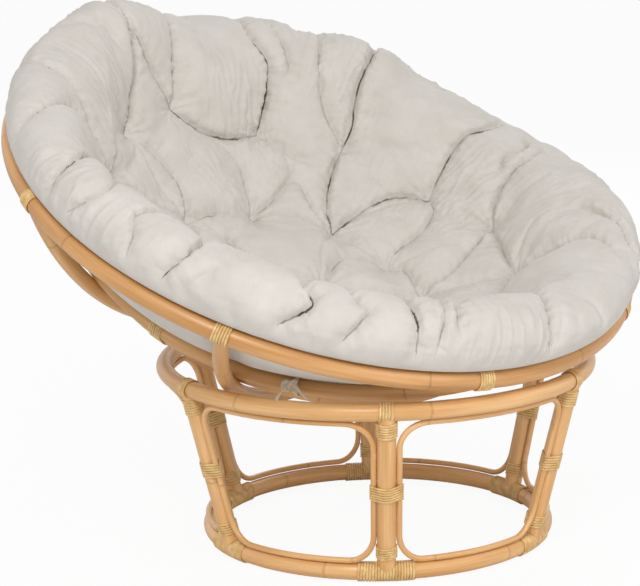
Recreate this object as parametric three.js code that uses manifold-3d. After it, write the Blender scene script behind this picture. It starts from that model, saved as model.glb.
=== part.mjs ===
// Papasan chair: a rattan stand, a round rattan bowl that sits in it and tilts, and a thick cushion.
// Millimetres, +Z up, origin on the floor under the middle of the stand, front towards -Y.
import * as THREE from "three";
import { mergeVertices } from "three/addons/utils/BufferGeometryUtils.js";
import Module from "manifold-3d";

const wasm = await Module();
wasm.setup();

const degree = THREE.MathUtils.degToRad;
const FULL_TURN = 2 * Math.PI;

// Gaps between pieces that touch on the real chair
const seatGap = 0.3;
const softGap = 0.4;

// Stand
const topRingRadius = 353.2;
const topRingHeight = 294.5;
const bottomRingRadius = 281.8;
const ringPoleDiameter = 28.2;
const postDiameter = 30;
const postCount = 6;
const postTurn = degree(2.6);
const loopRodDiameter = 9.6;
const loopCornerRadius = 44;

// Bowl frame
const rimRadius = 535;
const rimPoleDiameter = 31;
const pivotAboveRim = 295.4;
const ribRunGap = 0.2;
const ribPoleDiameter = 26;
const ribEnds = 8;
const ribEndTurn = degree(31.7);
const sideRibSag = 225;
const sideRibLean = degree(45);
const deepRibSag = 313;
const deepRibLean = degree(-15);
const hoopPoleDiameter = 25;
const hoopSeatAngle = degree(43);
const bowlTilt = degree(25);
const bowlTiltAzimuth = degree(-47.5);

// Rattan peel lashings
const peelWidth = 5.4;
const peelThickness = 1.6;
const peelSelfGap = 0.8;
const ovalRoom = 1;
const bendRoom = 0.4;
const strapTurns = 3;
const capTurns = 3;
const waistTurns = 3;
const footTurns = 2;
const rimTurns = 3;
const hoopTurns = 3;

// Cushion
const cushionLobes = 20;
const cushionOuterRadius = 556;
const cushionCrestRadius = 500;
const cushionCrestHeight = 82;
const cushionMouthRadius = 428;
const crestRise = 16;
const crestRiseAzimuth = degree(235);
const cushionSlip = 8;
const cushionSeatDepth = 142;
const cushionUnderDepth = 200;
const lobeReach = 12;
const lobeRise = 13;
const tuftDepth = 26;
const tuftSpread = 42;
const tuftInnerCircle = 150;
const tuftOuterCircle = 345;
const tuftInnerCount = 6;
const tuftOuterCount = 12;
// Shares of the way along the side ribs' radius and down the sag below them
const hollowShares = [[0.25, 0.97], [0.54, 0.8], [0.78, 0.5], [0.96, 0.1]];
// Shares of the way from the side ribs out to the rim, and of the side ribs' depth
const flankShares = [[0.31, 0.68], [0.6, 0.39], [0.84, 0.15]];
// Shares of the roll's reach from its crest, and of its rise from the shoulder to the crest
const rollOuterShares = [[1, 0.37], [0.68, 0.82]];
const rollInnerShares = [[0.47, 0.85], [1, 0.23]];
// Shares of the mouth's radius and of the depth from the mouth to the seat
const dishShares = [[0.915, 0.24], [0.805, 0.51], [0.665, 0.73], [0.5, 0.89], [0.35, 0.975], [0.175, 1]];

// Cushion tie
const tieKnotSize = 16;
const tieTailLength = 30;
const tieTailDrop = 14;
const tieTailWidth = 12;
const knotShares = new THREE.Vector3(1.3, 1.5, 1);
const tieTailThickness = 4;
const tieShare = 0.72;

// Facets
const poleSides = 8;
const bottomRingSides = 10;
const rodSides = 5;
const topRingSegments = 60;
const bottomRingSegments = 42;
const rimSegments = 64;
const hoopSegments = 48;
const ribSteps = 20;
const loopRunSteps = 5;
const loopPostSteps = 2;
const loopCornerSteps = 3;
const cushionAzimuths = cushionLobes * 3;

// Sizes that follow from those above
const ringPoleRadius = ringPoleDiameter / 2;
const postRadius = postDiameter / 2;
const loopRodRadius = loopRodDiameter / 2;
const rimPoleRadius = rimPoleDiameter / 2;
const ribPoleRadius = ribPoleDiameter / 2;
const hoopPoleRadius = hoopPoleDiameter / 2;
const bottomRingHeight = ringPoleRadius * Math.cos(Math.PI / bottomRingSides);
const bayAngle = FULL_TURN / postCount;
const postAzimuths = Array.from({ length: postCount }, (_, i) => -Math.PI / 2 + postTurn + i * bayAngle);
const ribEndAzimuths = Array.from({ length: ribEnds }, (_, i) => ribEndTurn + (i * FULL_TURN) / ribEnds);
const peelPitch = peelWidth + peelSelfGap;
const ringSlope = (topRingRadius - bottomRingRadius) / (topRingHeight - bottomRingHeight);

// Finishes
const rattan = new THREE.MeshStandardMaterial({ color: 0xcb9a62, roughness: 0.42, metalness: 0 });
const shadedRattan = new THREE.MeshStandardMaterial({ color: 0xc08e55, roughness: 0.45, metalness: 0 });
const peel = new THREE.MeshStandardMaterial({ color: 0xcfa468, roughness: 0.5, metalness: 0 });
const canvas = new THREE.MeshStandardMaterial({ color: 0xd7d2cb, roughness: 0.95, metalness: 0 });

// A point at an azimuth and radius about +Z, at a height
function polar(azimuth, radius, height) {
  return new THREE.Vector3(radius * Math.cos(azimuth), radius * Math.sin(azimuth), height);
}

// The corners of a round section, as [u, v] pairs that run anticlockwise
function roundSection(radius, sides) {
  return Array.from({ length: sides }, (_, i) => {
    const angle = ((i + 1 / 2) * FULL_TURN) / sides;
    return [radius * Math.cos(angle), radius * Math.sin(angle)];
  });
}

// The corners of a flat strip: thick along u, wide along v
function stripSection(thickness, width) {
  const u = thickness / 2;
  const v = width / 2;
  return [[-u, -v], [u, -v], [u, v], [-u, v]];
}

// A closed skin over rows of points; the first and last rows are closed by a fan unless the rows join
function skin(rows, joined) {
  const sides = rows[0].length;
  const positions = rows.flat().flatMap((p) => p.toArray());
  const index = [];
  const rowPairs = joined ? rows.length : rows.length - 1;
  for (let i = 0; i < rowPairs; i++) {
    const here = i * sides;
    const next = ((i + 1) % rows.length) * sides;
    for (let j = 0; j < sides; j++) {
      const k = (j + 1) % sides;
      index.push(here + j, here + k, next + k, here + j, next + k, next + j);
    }
  }
  const last = (rows.length - 1) * sides;
  for (let j = 1; !joined && j < sides - 1; j++) {
    index.push(0, j + 1, j);
    index.push(last, last + j, last + j + 1);
  }
  const geometry = new THREE.BufferGeometry();
  geometry.setAttribute("position", new THREE.Float32BufferAttribute(positions, 3));
  geometry.setIndex(index);
  return geometry;
}

// The rows of section corners along a path; across[i] points along u at path point i
function sectionRows(path, across, section, joined) {
  return path.map((point, i) => {
    const before = joined ? path.at(i - 1) : path[Math.max(i - 1, 0)];
    const after = joined ? path[(i + 1) % path.length] : path[Math.min(i + 1, path.length - 1)];
    const along = after.clone().sub(before).normalize();
    const u = across[i].clone().addScaledVector(along, -across[i].dot(along)).normalize();
    const v = along.clone().cross(u);
    return section.map(([a, b]) => point.clone().addScaledVector(u, a).addScaledVector(v, b));
  });
}

// A geometry as a solid for cutting
function solidOf(geometry) {
  const bare = geometry.clone();
  bare.deleteAttribute("normal");
  bare.deleteAttribute("uv");
  const merged = mergeVertices(bare, seatGap / 100);
  return new wasm.Manifold(
    new wasm.Mesh({
      numProp: 3,
      vertProperties: merged.attributes.position.array,
      triVerts: new Uint32Array(merged.index.array),
    }),
  );
}

// A geometry with others cut out of it
function cut(geometry, cutters) {
  const left = cutters.reduce((solid, cutter) => solid.subtract(solidOf(cutter)), solidOf(geometry));
  const mesh = left.getMesh();
  const result = new THREE.BufferGeometry();
  result.setAttribute("position", new THREE.Float32BufferAttribute(mesh.vertProperties, mesh.numProp));
  result.setIndex(Array.from(mesh.triVerts));
  return result;
}

// A ring of bent pole about +Z, with a facet corner at the given azimuth
function ring(radius, poleRadius, height, sides, segments, azimuth) {
  const geometry = new THREE.TorusGeometry(radius, poleRadius, sides, segments);
  geometry.rotateZ(azimuth);
  geometry.translate(0, 0, height);
  return geometry;
}

// The path radius of a strip that winds round a pole of as many sides as it has steps
function windingRadius(poleRadius) {
  return poleRadius + seatGap / Math.cos(Math.PI / poleSides) + peelThickness / 2;
}

// How far the outside of such a winding reaches
function windingReach(poleRadius) {
  return windingRadius(poleRadius) + peelThickness / 2;
}

// One turn round a pole, as [sideways, forwards] pairs; half a step turns it onto a pole whose sides are
// set out from the middle of a face
function roundTurn(poleRadius, startStep) {
  return Array.from({ length: poleSides }, (_, i) => {
    const angle = ((i + startStep) * FULL_TURN) / poleSides;
    return [windingRadius(poleRadius) * Math.cos(angle), windingRadius(poleRadius) * Math.sin(angle)];
  });
}

let leastSelfGap = Infinity;

// The least distance between corners of a winding that lie half a turn or more apart along it
function measureSelfGap(rows, steps) {
  rows.forEach((row, i) => {
    for (let j = i + steps / 2; j < rows.length; j++) {
      for (const p of row) {
        for (const q of rows[Math.floor(j)]) leastSelfGap = Math.min(leastSelfGap, p.distanceTo(q));
      }
    }
  });
}

// One strip of peel wound in a helix. frameAt(offset) gives the middle of the pole at a distance along
// it, with the two directions across it, and turn lists the corners of one turn along those two.
function winding({ frameAt, turn, turns }) {
  const steps = turn.length;
  const path = [];
  const across = [];
  for (let i = 0; i <= turns * steps; i++) {
    const { middle, side, front } = frameAt((i / steps - turns / 2) * peelPitch);
    const [here, before, after] = [i, i + steps - 1, i + 1].map((k) => turn[k % steps]);
    const place = ([x, y]) => side.clone().multiplyScalar(x).addScaledVector(front, y);
    path.push(middle.clone().add(place(here)));
    const chord = [after[0] - before[0], after[1] - before[1]];
    across.push(place([chord[1], -chord[0]]));
  }
  const rows = sectionRows(path, across, stripSection(peelThickness, peelWidth), false);
  measureSelfGap(rows, steps);
  return skin(rows, false);
}

// A winding round a ring of pole that lies about +Z
function ringWinding(radius, poleRadius, height, azimuth, turns) {
  return winding({
    frameAt: (offset) => {
      const angle = azimuth + offset / radius;
      return { middle: polar(angle, radius, height), side: new THREE.Vector3(0, 0, -1), front: polar(angle, 1, 0) };
    },
    turn: roundTurn(poleRadius + bendRoom, 0),
    turns,
  });
}

const stand = new THREE.Group();
const bowl = new THREE.Group();
const chair = new THREE.Group();
const placed = new THREE.Group();
placed.add(stand, bowl);
chair.add(placed);

function addMesh(group, name, geometry, material) {
  const mesh = new THREE.Mesh(geometry, material);
  mesh.name = name;
  group.add(mesh);
}

// Stand: two rings
const topRing = (clearance) =>
  ring(topRingRadius, ringPoleRadius + clearance, topRingHeight, poleSides, topRingSegments, postAzimuths[0]);
const bottomRing = (clearance) =>
  ring(
    bottomRingRadius,
    ringPoleRadius + clearance,
    bottomRingHeight,
    bottomRingSides,
    bottomRingSegments,
    postAzimuths[0],
  );
addMesh(stand, "stand_top_ring", topRing(0), rattan);
addMesh(stand, "stand_bottom_ring", bottomRing(0), rattan);

// Stand: posts, each with its ends hollowed to sit on the rings. The upper end leaves room for the strap.
const strapReach = windingReach(ringPoleRadius + bendRoom) + bendRoom;
const postFoot = (azimuth) => polar(azimuth, bottomRingRadius, bottomRingHeight);
const postHead = (azimuth) => polar(azimuth, topRingRadius, topRingHeight);
const postLength = postHead(0).distanceTo(postFoot(0));

// The middle of a post at a distance up from its foot, with the directions sideways and outwards
function postFrame(azimuth, distance) {
  const along = postHead(azimuth).sub(postFoot(azimuth)).normalize();
  const side = polar(azimuth + Math.PI / 2, 1, 0);
  return { middle: postFoot(azimuth).addScaledVector(along, distance), side, front: side.clone().cross(along) };
}

function postGeometry(azimuth) {
  const start = postFrame(azimuth, ringPoleRadius / 2);
  const end = postFrame(azimuth, postLength - ringPoleRadius / 2);
  const section = roundSection(postRadius, poleSides);
  const rows = sectionRows([start.middle, end.middle], [start.front, end.front], section, false);
  return cut(skin(rows, false), [bottomRing(seatGap), topRing(strapReach + softGap - ringPoleRadius)]);
}

// One turn round a post and the loop rods on both sides of it
const turnOffset = seatGap + peelThickness / 2;
const waistSide = postRadius + seatGap + loopRodDiameter + turnOffset;
const waistFront = postRadius * Math.cos(Math.PI / poleSides) + turnOffset;
const waistTurn = [
  [waistSide, loopRodRadius],
  [postRadius / 2, waistFront],
  [-postRadius / 2, waistFront],
  [-waistSide, loopRodRadius],
  [-waistSide, -loopRodRadius],
  [-postRadius / 2, -waistFront],
  [postRadius / 2, -waistFront],
  [waistSide, -loopRodRadius],
];

function postWinding(azimuth, distance, turns, turn) {
  return winding({ frameAt: (offset) => postFrame(azimuth, distance + offset), turn, turns });
}

const postTurns = roundTurn(postRadius, 1 / 2);
const capLength = capTurns * peelPitch + peelWidth;
const footLength = footTurns * peelPitch + peelWidth;
const capPlace = postLength - strapReach - seatGap - capLength / 2;
const footPlace = ringPoleRadius + 2 * loopRodDiameter + footLength / 2;
const waistPlace = postLength / 2 + peelWidth;

postAzimuths.forEach((azimuth, i) => {
  const n = i + 1;
  addMesh(stand, `post_${n}`, postGeometry(azimuth), rattan);
  const strap = ringWinding(topRingRadius, ringPoleRadius, topRingHeight, azimuth, strapTurns);
  addMesh(stand, `post_strap_${n}`, strap, peel);
  addMesh(stand, `post_cap_wrap_${n}`, postWinding(azimuth, capPlace, capTurns, postTurns), peel);
  addMesh(stand, `post_waist_wrap_${n}`, postWinding(azimuth, waistPlace, waistTurns, waistTurn), peel);
  addMesh(stand, `post_foot_wrap_${n}`, postWinding(azimuth, footPlace, footTurns, postTurns), peel);
});

// Stand: one thin rod bent to a rounded rectangle in each bay, on the cone between the two rings.
// Its corner points are worked out flat, in the middle of the bay, and then bent round the cone.
const loopLow = bottomRingHeight + ringPoleRadius + seatGap + loopRodRadius;
const loopHigh = topRingHeight - ringPoleRadius - seatGap - loopRodRadius;
const coneRadius = (height) => bottomRingRadius + ringSlope * (height - bottomRingHeight);
const loopSideGap = postRadius + seatGap + loopRodRadius;
const halfBayAt = (height) => bayAngle / 2 - loopSideGap / coneRadius(height);
const loopMiddle = (loopLow + loopHigh) / 2;
const loopHalfWidth = halfBayAt(loopMiddle) * coneRadius(loopMiddle);

// The flat outline, as [sideways share, height] pairs
function loopOutline() {
  const x = loopHalfWidth - loopCornerRadius;
  const y = (loopHigh - loopLow) / 2 - loopCornerRadius;
  const corners = [[x, y], [-x, y], [-x, -y], [x, -y]];
  const outline = [];
  corners.forEach(([cx, cy], c) => {
    for (let i = 0; i <= loopCornerSteps; i++) {
      const angle = (c + i / loopCornerSteps) * (Math.PI / 2);
      outline.push([cx + loopCornerRadius * Math.cos(angle), cy + loopCornerRadius * Math.sin(angle)]);
    }
    const [fromX, fromY] = outline.at(-1);
    const nextCorner = (c + 1) % corners.length;
    const [nextX, nextY] = corners[nextCorner];
    const toX = nextX + loopCornerRadius * Math.cos((nextCorner * Math.PI) / 2);
    const toY = nextY + loopCornerRadius * Math.sin((nextCorner * Math.PI) / 2);
    const steps = c % 2 === 0 ? loopRunSteps : loopPostSteps;
    for (let i = 1; i < steps; i++) {
      outline.push([fromX + ((toX - fromX) * i) / steps, fromY + ((toY - fromY) * i) / steps]);
    }
  });
  return outline.map(([sideways, up]) => [sideways / loopHalfWidth, loopMiddle + up]);
}

function loopGeometry(azimuth) {
  const outline = loopOutline();
  const angles = outline.map(([sideShare, height]) => azimuth + sideShare * halfBayAt(height));
  const path = outline.map(([, height], i) => polar(angles[i], coneRadius(height), height));
  const outwards = angles.map((angle) => polar(angle, 1, -ringSlope));
  return skin(sectionRows(path, outwards, roundSection(loopRodRadius, rodSides), true), true);
}

postAzimuths.forEach((azimuth, i) => {
  addMesh(stand, `bay_loop_${i + 1}`, loopGeometry(azimuth + bayAngle / 2), rattan);
});

// Bowl frame: everything is placed about the pivot, the middle of the ball on which the bowl turns
const rimHeight = -pivotAboveRim;
const rim = (clearance) =>
  ring(rimRadius, rimPoleRadius + clearance, rimHeight, poleSides, rimSegments, ribEndAzimuths[0]);
addMesh(bowl, "bowl_rim", rim(0), rattan);

// A rib is a pole bent to a circular arc from one place on the rim to another. sag is its depth below
// the rim, and lean turns its plane outwards from straight down.
function ribArc(startAzimuth, endAzimuth, sag, lean) {
  const start = polar(startAzimuth, rimRadius, rimHeight);
  const end = polar(endAzimuth, rimRadius, rimHeight);
  const middle = start.clone().add(end).divideScalar(2);
  const halfChord = start.distanceTo(end) / 2;
  const bendRadius = (halfChord ** 2 + sag ** 2) / (2 * sag);
  const along = end.clone().sub(start).normalize();
  const outwards = new THREE.Vector3(middle.x, middle.y, 0).normalize();
  const down = outwards.multiplyScalar(Math.sin(lean)).add(new THREE.Vector3(0, 0, -Math.cos(lean)));
  const halfAngle = Math.asin(halfChord / bendRadius);
  return {
    planeNormal: along.clone().cross(down),
    lowest: middle.clone().addScaledVector(down, sag),
    at: (share) => {
      const angle = (2 * share - 1) * halfAngle;
      const depth = bendRadius * Math.cos(angle) - bendRadius + sag;
      return middle.clone().addScaledVector(along, bendRadius * Math.sin(angle)).addScaledVector(down, depth);
    },
  };
}

const rimStrapReach = windingReach(rimPoleRadius + bendRoom) + bendRoom;

function ribGeometry(arc) {
  const path = Array.from({ length: ribSteps + 1 }, (_, i) => arc.at(i / ribSteps));
  const across = path.map(() => arc.planeNormal);
  const rows = sectionRows(path, across, roundSection(ribPoleRadius, poleSides), false);
  return cut(skin(rows, false), [rim(rimStrapReach + softGap - rimPoleRadius)]);
}

// Each rib spans three of the eight places on the rim
const ribSpan = 3;
const endAt = (place) => ribEndAzimuths[0] + (place * FULL_TURN) / ribEnds;
const sideArcs = [3, 7].map((place) => ribArc(endAt(place), endAt(place + ribSpan), sideRibSag, sideRibLean));
const deepArcs = [1, 5].map((place) => ribArc(endAt(place), endAt(place + ribSpan), deepRibSag, deepRibLean));
sideArcs.forEach((arc, i) => addMesh(bowl, `side_rib_${i + 1}`, ribGeometry(arc), shadedRattan));
deepArcs.forEach((arc, i) => addMesh(bowl, `deep_rib_${i + 1}`, ribGeometry(arc), shadedRattan));

ribEndAzimuths.forEach((azimuth, i) => {
  const strap = ringWinding(rimRadius, rimPoleRadius, rimHeight, azimuth, rimTurns);
  addMesh(bowl, `rim_wrap_${i + 1}`, strap, peel);
});

// The bowl turns about the middle of the ball that its ribs lie in. The ball is seated in the top ring,
// with room for the straps that the deep ribs pass over.
const ribReach = Math.max(...deepArcs.map((arc) => arc.at(0).length()), deepArcs[0].lowest.length());
const ribFlat = ribPoleRadius * Math.cos(Math.PI / poleSides);
const ballRadius = ribReach + ribFlat + ribRunGap + windingReach(ringPoleRadius + bendRoom);
const pivotHeight = topRingHeight + Math.sqrt(ballRadius ** 2 - topRingRadius ** 2);

// The hoop lies inside the two side ribs and is seated on their lowest points
const hoopSeat = ribFlat + hoopPoleRadius + softGap;
const sideLowest = sideArcs[0].lowest;
const sideLowestRadius = Math.hypot(sideLowest.x, sideLowest.y);
const hoopRadius = sideLowestRadius - hoopSeat * Math.cos(hoopSeatAngle);
const hoopHeight = sideLowest.z - hoopSeat * Math.sin(hoopSeatAngle);
const sideLowestAzimuths = sideArcs.map((arc) => Math.atan2(arc.lowest.y, arc.lowest.x));
addMesh(
  bowl,
  "bowl_hoop",
  ring(hoopRadius, hoopPoleRadius, hoopHeight, poleSides, hoopSegments, sideLowestAzimuths[0]),
  shadedRattan,
);

// A wrap that ties the hoop to a side rib: one turn goes round both poles, which lie in line with front
const pairRadius = (sideLowestRadius + hoopRadius) / 2;
const pairHeight = (sideLowest.z + hoopHeight) / 2;
const pairTurn = roundTurn(ribPoleRadius + ovalRoom, 1 / 2).map(([x, y]) => [x, y + Math.sign(y) * (hoopSeat / 2)]);
sideLowestAzimuths.forEach((azimuth, i) => {
  const geometry = winding({
    frameAt: (offset) => {
      const angle = azimuth + offset / pairRadius;
      const side = polar(angle, Math.sin(hoopSeatAngle), -Math.cos(hoopSeatAngle));
      const front = polar(angle, Math.cos(hoopSeatAngle), Math.sin(hoopSeatAngle));
      return { middle: polar(angle, pairRadius, pairHeight), side, front };
    },
    turn: pairTurn,
    turns: hoopTurns,
  });
  addMesh(bowl, `hoop_wrap_${i + 1}`, geometry, peel);
});

// Cushion: a dished round pad in puffy lobes. Each profile point holds the distance from the axis and
// the height above the middle of the rim. The run below goes outwards, and the run above comes back.
// The underside lies on the side ribs and the hoop's wraps, so it follows their depth and the rim's size.
const underRadius = rimRadius - rimPoleRadius;
const pairRoom = seatGap;
const ribTopDepth = rimHeight - sideLowest.z - ribPoleRadius - pairRoom;
const sagDepth = cushionUnderDepth - ribTopDepth;
const below = hollowShares.map(([radiusShare, sagShare]) => [
  radiusShare * sideLowestRadius,
  -ribTopDepth - sagShare * sagDepth,
]);
const flank = flankShares.map(([outShare, depthShare]) => [
  sideLowestRadius + outShare * (underRadius - sideLowestRadius),
  -depthShare * ribTopDepth,
]);
const shoulderHeight = 2 * rimPoleRadius;
const crestAbove = cushionCrestHeight - shoulderHeight;
const outerReach = cushionOuterRadius - cushionCrestRadius;
const innerReach = cushionCrestRadius - cushionMouthRadius;
const outside = [
  [underRadius - ribPoleRadius / 2, rimPoleRadius],
  [rimRadius + rimPoleRadius / 2, shoulderHeight],
  ...rollOuterShares.map(([outShare, upShare]) => [
    cushionCrestRadius + outShare * outerReach,
    shoulderHeight + upShare * crestAbove,
  ]),
  [cushionCrestRadius, cushionCrestHeight],
  ...rollInnerShares.map(([inShare, upShare]) => [
    cushionCrestRadius - inShare * innerReach,
    shoulderHeight + upShare * crestAbove,
  ]),
];
const mouthHeight = outside.at(-1)[1];
const above = dishShares.map(([radiusShare, depthShare]) => [
  radiusShare * cushionMouthRadius,
  mouthHeight - depthShare * (mouthHeight + cushionSeatDepth),
]);

// The push of a tuft on a point of the upper side: one where a circle of tufts has a tuft, else less
function tuftPush(radius, azimuth) {
  const circles = [
    [tuftInnerCircle, tuftInnerCount],
    [tuftOuterCircle, tuftOuterCount],
  ];
  const pushes = circles.map(([circle, count]) => {
    const spacing = FULL_TURN / count;
    const nearest = Math.round(azimuth / spacing) * spacing;
    const distance = polar(azimuth, radius, 0).distanceTo(polar(nearest, circle, 0));
    return Math.exp(-((distance / tuftSpread) ** 2));
  });
  return Math.max(...pushes);
}

function cushionGeometry() {
  const profile = [...below, ...flank, ...outside, ...above];
  const underRings = below.length + flank.length;
  const rings = profile.map(([radius, height], k) => {
    const outsideStep = k - underRings + 1;
    const isAbove = outsideStep > outside.length;
    const isOutside = outsideStep > 0 && !isAbove;
    const reachShare = isOutside ? Math.sin((Math.PI * outsideStep) / (outside.length + 1)) : 0;
    const riseShare = isOutside ? Math.max(0, (height - shoulderHeight) / crestAbove) : 0;
    return Array.from({ length: cushionAzimuths }, (_, j) => {
      const azimuth = (j * FULL_TURN) / cushionAzimuths;
      const isCrease = j % (cushionAzimuths / cushionLobes) === 0;
      const isPulledIn = isCrease && radius > cushionCrestRadius;
      const toCrest = Math.cos(azimuth - crestRiseAzimuth);
      const reach = reachShare * (cushionSlip * toCrest - (isPulledIn ? lobeReach : 0));
      const rise = riseShare * (crestRise * toCrest - (isCrease ? lobeRise : 0));
      const push = isAbove ? tuftDepth * tuftPush(radius, azimuth) : 0;
      return polar(azimuth, radius + reach, rimHeight + height + rise - push);
    });
  });
  const positions = rings.flat();
  const bottomPole = positions.length;
  positions.push(new THREE.Vector3(0, 0, rimHeight - cushionUnderDepth));
  const topPole = positions.length;
  positions.push(new THREE.Vector3(0, 0, rimHeight - cushionSeatDepth));
  const index = [];
  for (let j = 0; j < cushionAzimuths; j++) {
    const k = (j + 1) % cushionAzimuths;
    index.push(bottomPole, k, j);
    for (let i = 0; i < rings.length - 1; i++) {
      const here = i * cushionAzimuths;
      const next = here + cushionAzimuths;
      index.push(here + j, here + k, next + k, here + j, next + k, next + j);
    }
    const last = (rings.length - 1) * cushionAzimuths;
    index.push(last + j, last + k, topPole);
  }
  const geometry = new THREE.BufferGeometry();
  geometry.setAttribute("position", new THREE.Float32BufferAttribute(positions.flatMap((p) => p.toArray()), 3));
  geometry.setIndex(index);
  return geometry;
}
addMesh(bowl, "cushion", cushionGeometry(), canvas);

// The knot of the cushion's tie, outside the first side rib, with two tails
function tieGeometry() {
  const arc = sideArcs[0];
  const pole = arc.at(tieShare);
  const outwards = pole.clone().normalize();
  const along = arc.at(1).sub(pole).normalize();
  const across = along.clone().cross(outwards);
  const knotMiddle = pole.clone().addScaledVector(outwards, ribPoleRadius * Math.cos(Math.PI / poleSides) + softGap + tieKnotSize / 2);
  const knot = new THREE.IcosahedronGeometry(tieKnotSize / 2, 1);
  knot.applyMatrix4(new THREE.Matrix4().makeBasis(across, along, outwards).scale(knotShares));
  knot.translate(...knotMiddle);
  const tails = [-1, 1].map((way) => {
    const path = [0, 1 / 2, 1].map((t) =>
      knotMiddle
        .clone()
        .addScaledVector(along, way * t * tieTailLength)
        .addScaledVector(across, -t * tieTailDrop * (way + 2)),
    );
    const section = stripSection(tieTailThickness, tieTailWidth);
    return solidOf(skin(sectionRows(path, path.map(() => outwards), section, false), false));
  });
  const whole = tails.reduce((solid, tail) => solid.add(tail), solidOf(knot));
  const mesh = whole.getMesh();
  const geometry = new THREE.BufferGeometry();
  geometry.setAttribute("position", new THREE.Float32BufferAttribute(mesh.vertProperties, mesh.numProp));
  geometry.setIndex(Array.from(mesh.triVerts));
  return geometry;
}
addMesh(bowl, "cushion_tie", tieGeometry(), canvas);
console.log("least self-gap of the windings", leastSelfGap.toFixed(2), "mm");

bowl.position.z = pivotHeight;
const tiltAxis = polar(bowlTiltAzimuth + Math.PI / 2, 1, 0);
bowl.quaternion.setFromAxisAngle(tiltAxis, bowlTilt);

// The part's origin is on the floor under the middle of the whole chair
const extent = new THREE.Box3().setFromObject(placed, true);
placed.position.set(-(extent.min.x + extent.max.x) / 2, -(extent.min.y + extent.max.y) / 2, 0);

export default chair;
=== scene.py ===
# %% [markdown]
# # A papasan chair in rattan and cotton
# The real chair has three parts that lift off each other: a round stand of bent rattan poles, a
# bowl-shaped frame of the same poles that lies in it at a tilt, and a thick cushion tied into the
# bowl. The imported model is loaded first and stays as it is. Its poles have flat facets, so each
# smooth piece below is made in the same place and then stands for its node.

# %% Load the fixed frame
import math

import bpy
import numpy as np
from mathutils import Matrix, Vector


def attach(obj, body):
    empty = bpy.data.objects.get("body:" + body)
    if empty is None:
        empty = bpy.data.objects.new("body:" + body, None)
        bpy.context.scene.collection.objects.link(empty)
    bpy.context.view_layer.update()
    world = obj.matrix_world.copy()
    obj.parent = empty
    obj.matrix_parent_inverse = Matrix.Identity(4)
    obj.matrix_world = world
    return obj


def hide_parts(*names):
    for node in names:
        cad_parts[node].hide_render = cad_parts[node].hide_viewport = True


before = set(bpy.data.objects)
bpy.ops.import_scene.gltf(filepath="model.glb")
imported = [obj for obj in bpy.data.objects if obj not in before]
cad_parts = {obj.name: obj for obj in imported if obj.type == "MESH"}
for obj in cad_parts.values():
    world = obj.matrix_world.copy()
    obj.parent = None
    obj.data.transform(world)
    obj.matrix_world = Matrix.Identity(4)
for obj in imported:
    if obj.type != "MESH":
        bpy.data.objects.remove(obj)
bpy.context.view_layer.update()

# %% [markdown]
# ## Sizes
# All lengths are metres and are the same as in the solid model. The stand's axis is a little to
# the front right of the origin, because the origin is under the middle of the whole chair. The
# bowl is made level about the pivot that it turns on, and one matrix then tips it into place.

# %% The chair's main sizes
MM = 0.001
STAND = Vector((77.854 * MM, -78.172 * MM, 0))
TOP_RING_RADIUS, TOP_RING_HEIGHT = 353.2 * MM, 294.5 * MM
BOTTOM_RING_RADIUS = 281.8 * MM
RING_POLE, POST_POLE, ROD = 14.1 * MM, 15 * MM, 4.8 * MM
WRAP_ROOM = 2.3 * MM  # for a winding between two poles or over the floor
BOTTOM_RING_HEIGHT = RING_POLE + WRAP_ROOM
POST_TURN, BAY = math.radians(-87.4), math.radians(60)
RIM_RADIUS, RIM_POLE = 535 * MM, 15.5 * MM
PIVOT_ABOVE_RIM = 295.4 * MM
RIB_POLE, HOOP_POLE = 13 * MM, 12.5 * MM
RIB_TURN = math.radians(31.7)
PIVOT_HEIGHT = 827.938 * MM
TILT, TILT_AXIS = math.radians(25), math.radians(42.5)

tilt_axis = Vector((math.cos(TILT_AXIS), math.sin(TILT_AXIS), 0))
BOWL = Matrix.Translation(STAND + Vector((0, 0, PIVOT_HEIGHT))) @ Matrix.Rotation(TILT, 4, tilt_axis)
RIM_FRAME = BOWL @ Matrix.Translation((0, 0, -PIVOT_ABOVE_RIM))
print("rim middle at", tuple(round(v, 4) for v in RIM_FRAME.translation))

# %% [markdown]
# ## The camera
# The photograph was taken with a long lens from a little above the cushion's front edge. The
# place and turn below were worked out from the ellipses of the rim and of the stand's two rings.

# %% Put up the camera
CAMERA_PLACE = STAND + Vector((0, -3.6378, 1.1647))
CAMERA_DOWN, CAMERA_YAW, CAMERA_ROLL = (math.radians(a) for a in (11.74, -1.43, -1.12))
LENS = 125.18


def put_in_scene(name, data):
    """A new object with that data."""
    made = bpy.data.objects.new(name, data)
    bpy.context.scene.collection.objects.link(made)
    return made


def turned(x, y, z):
    """The matrix that turns the three axes to these."""
    return Matrix((x, y, z)).transposed().to_4x4()


forward = Vector((
    math.sin(CAMERA_YAW) * math.cos(CAMERA_DOWN),
    math.cos(CAMERA_YAW) * math.cos(CAMERA_DOWN),
    -math.sin(CAMERA_DOWN),
))
level_right = Vector((math.cos(CAMERA_YAW), -math.sin(CAMERA_YAW), 0))
level_up = level_right.cross(forward)
right = math.cos(CAMERA_ROLL) * level_right + math.sin(CAMERA_ROLL) * level_up
up = math.cos(CAMERA_ROLL) * level_up - math.sin(CAMERA_ROLL) * level_right

camera_data = bpy.data.cameras.new("camera")
camera_data.sensor_width = 36
camera_data.lens = LENS
camera = put_in_scene("camera", camera_data)
camera.matrix_world = Matrix.Translation(CAMERA_PLACE) @ turned(right, up, -forward)
bpy.context.scene.camera = camera
bpy.context.scene.view_settings.view_transform = "Standard"
print("camera at", tuple(round(v, 3) for v in CAMERA_PLACE))

# %% [markdown]
# ## Helpers for finishes
# Every finish is a node tree. Colours are written as sRGB hex values, as a colour picker gives
# them, and turned to the linear values that the shader wants. One function adds a node, sets its
# options and fills its sockets, either with a value or with a link from another node.

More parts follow.
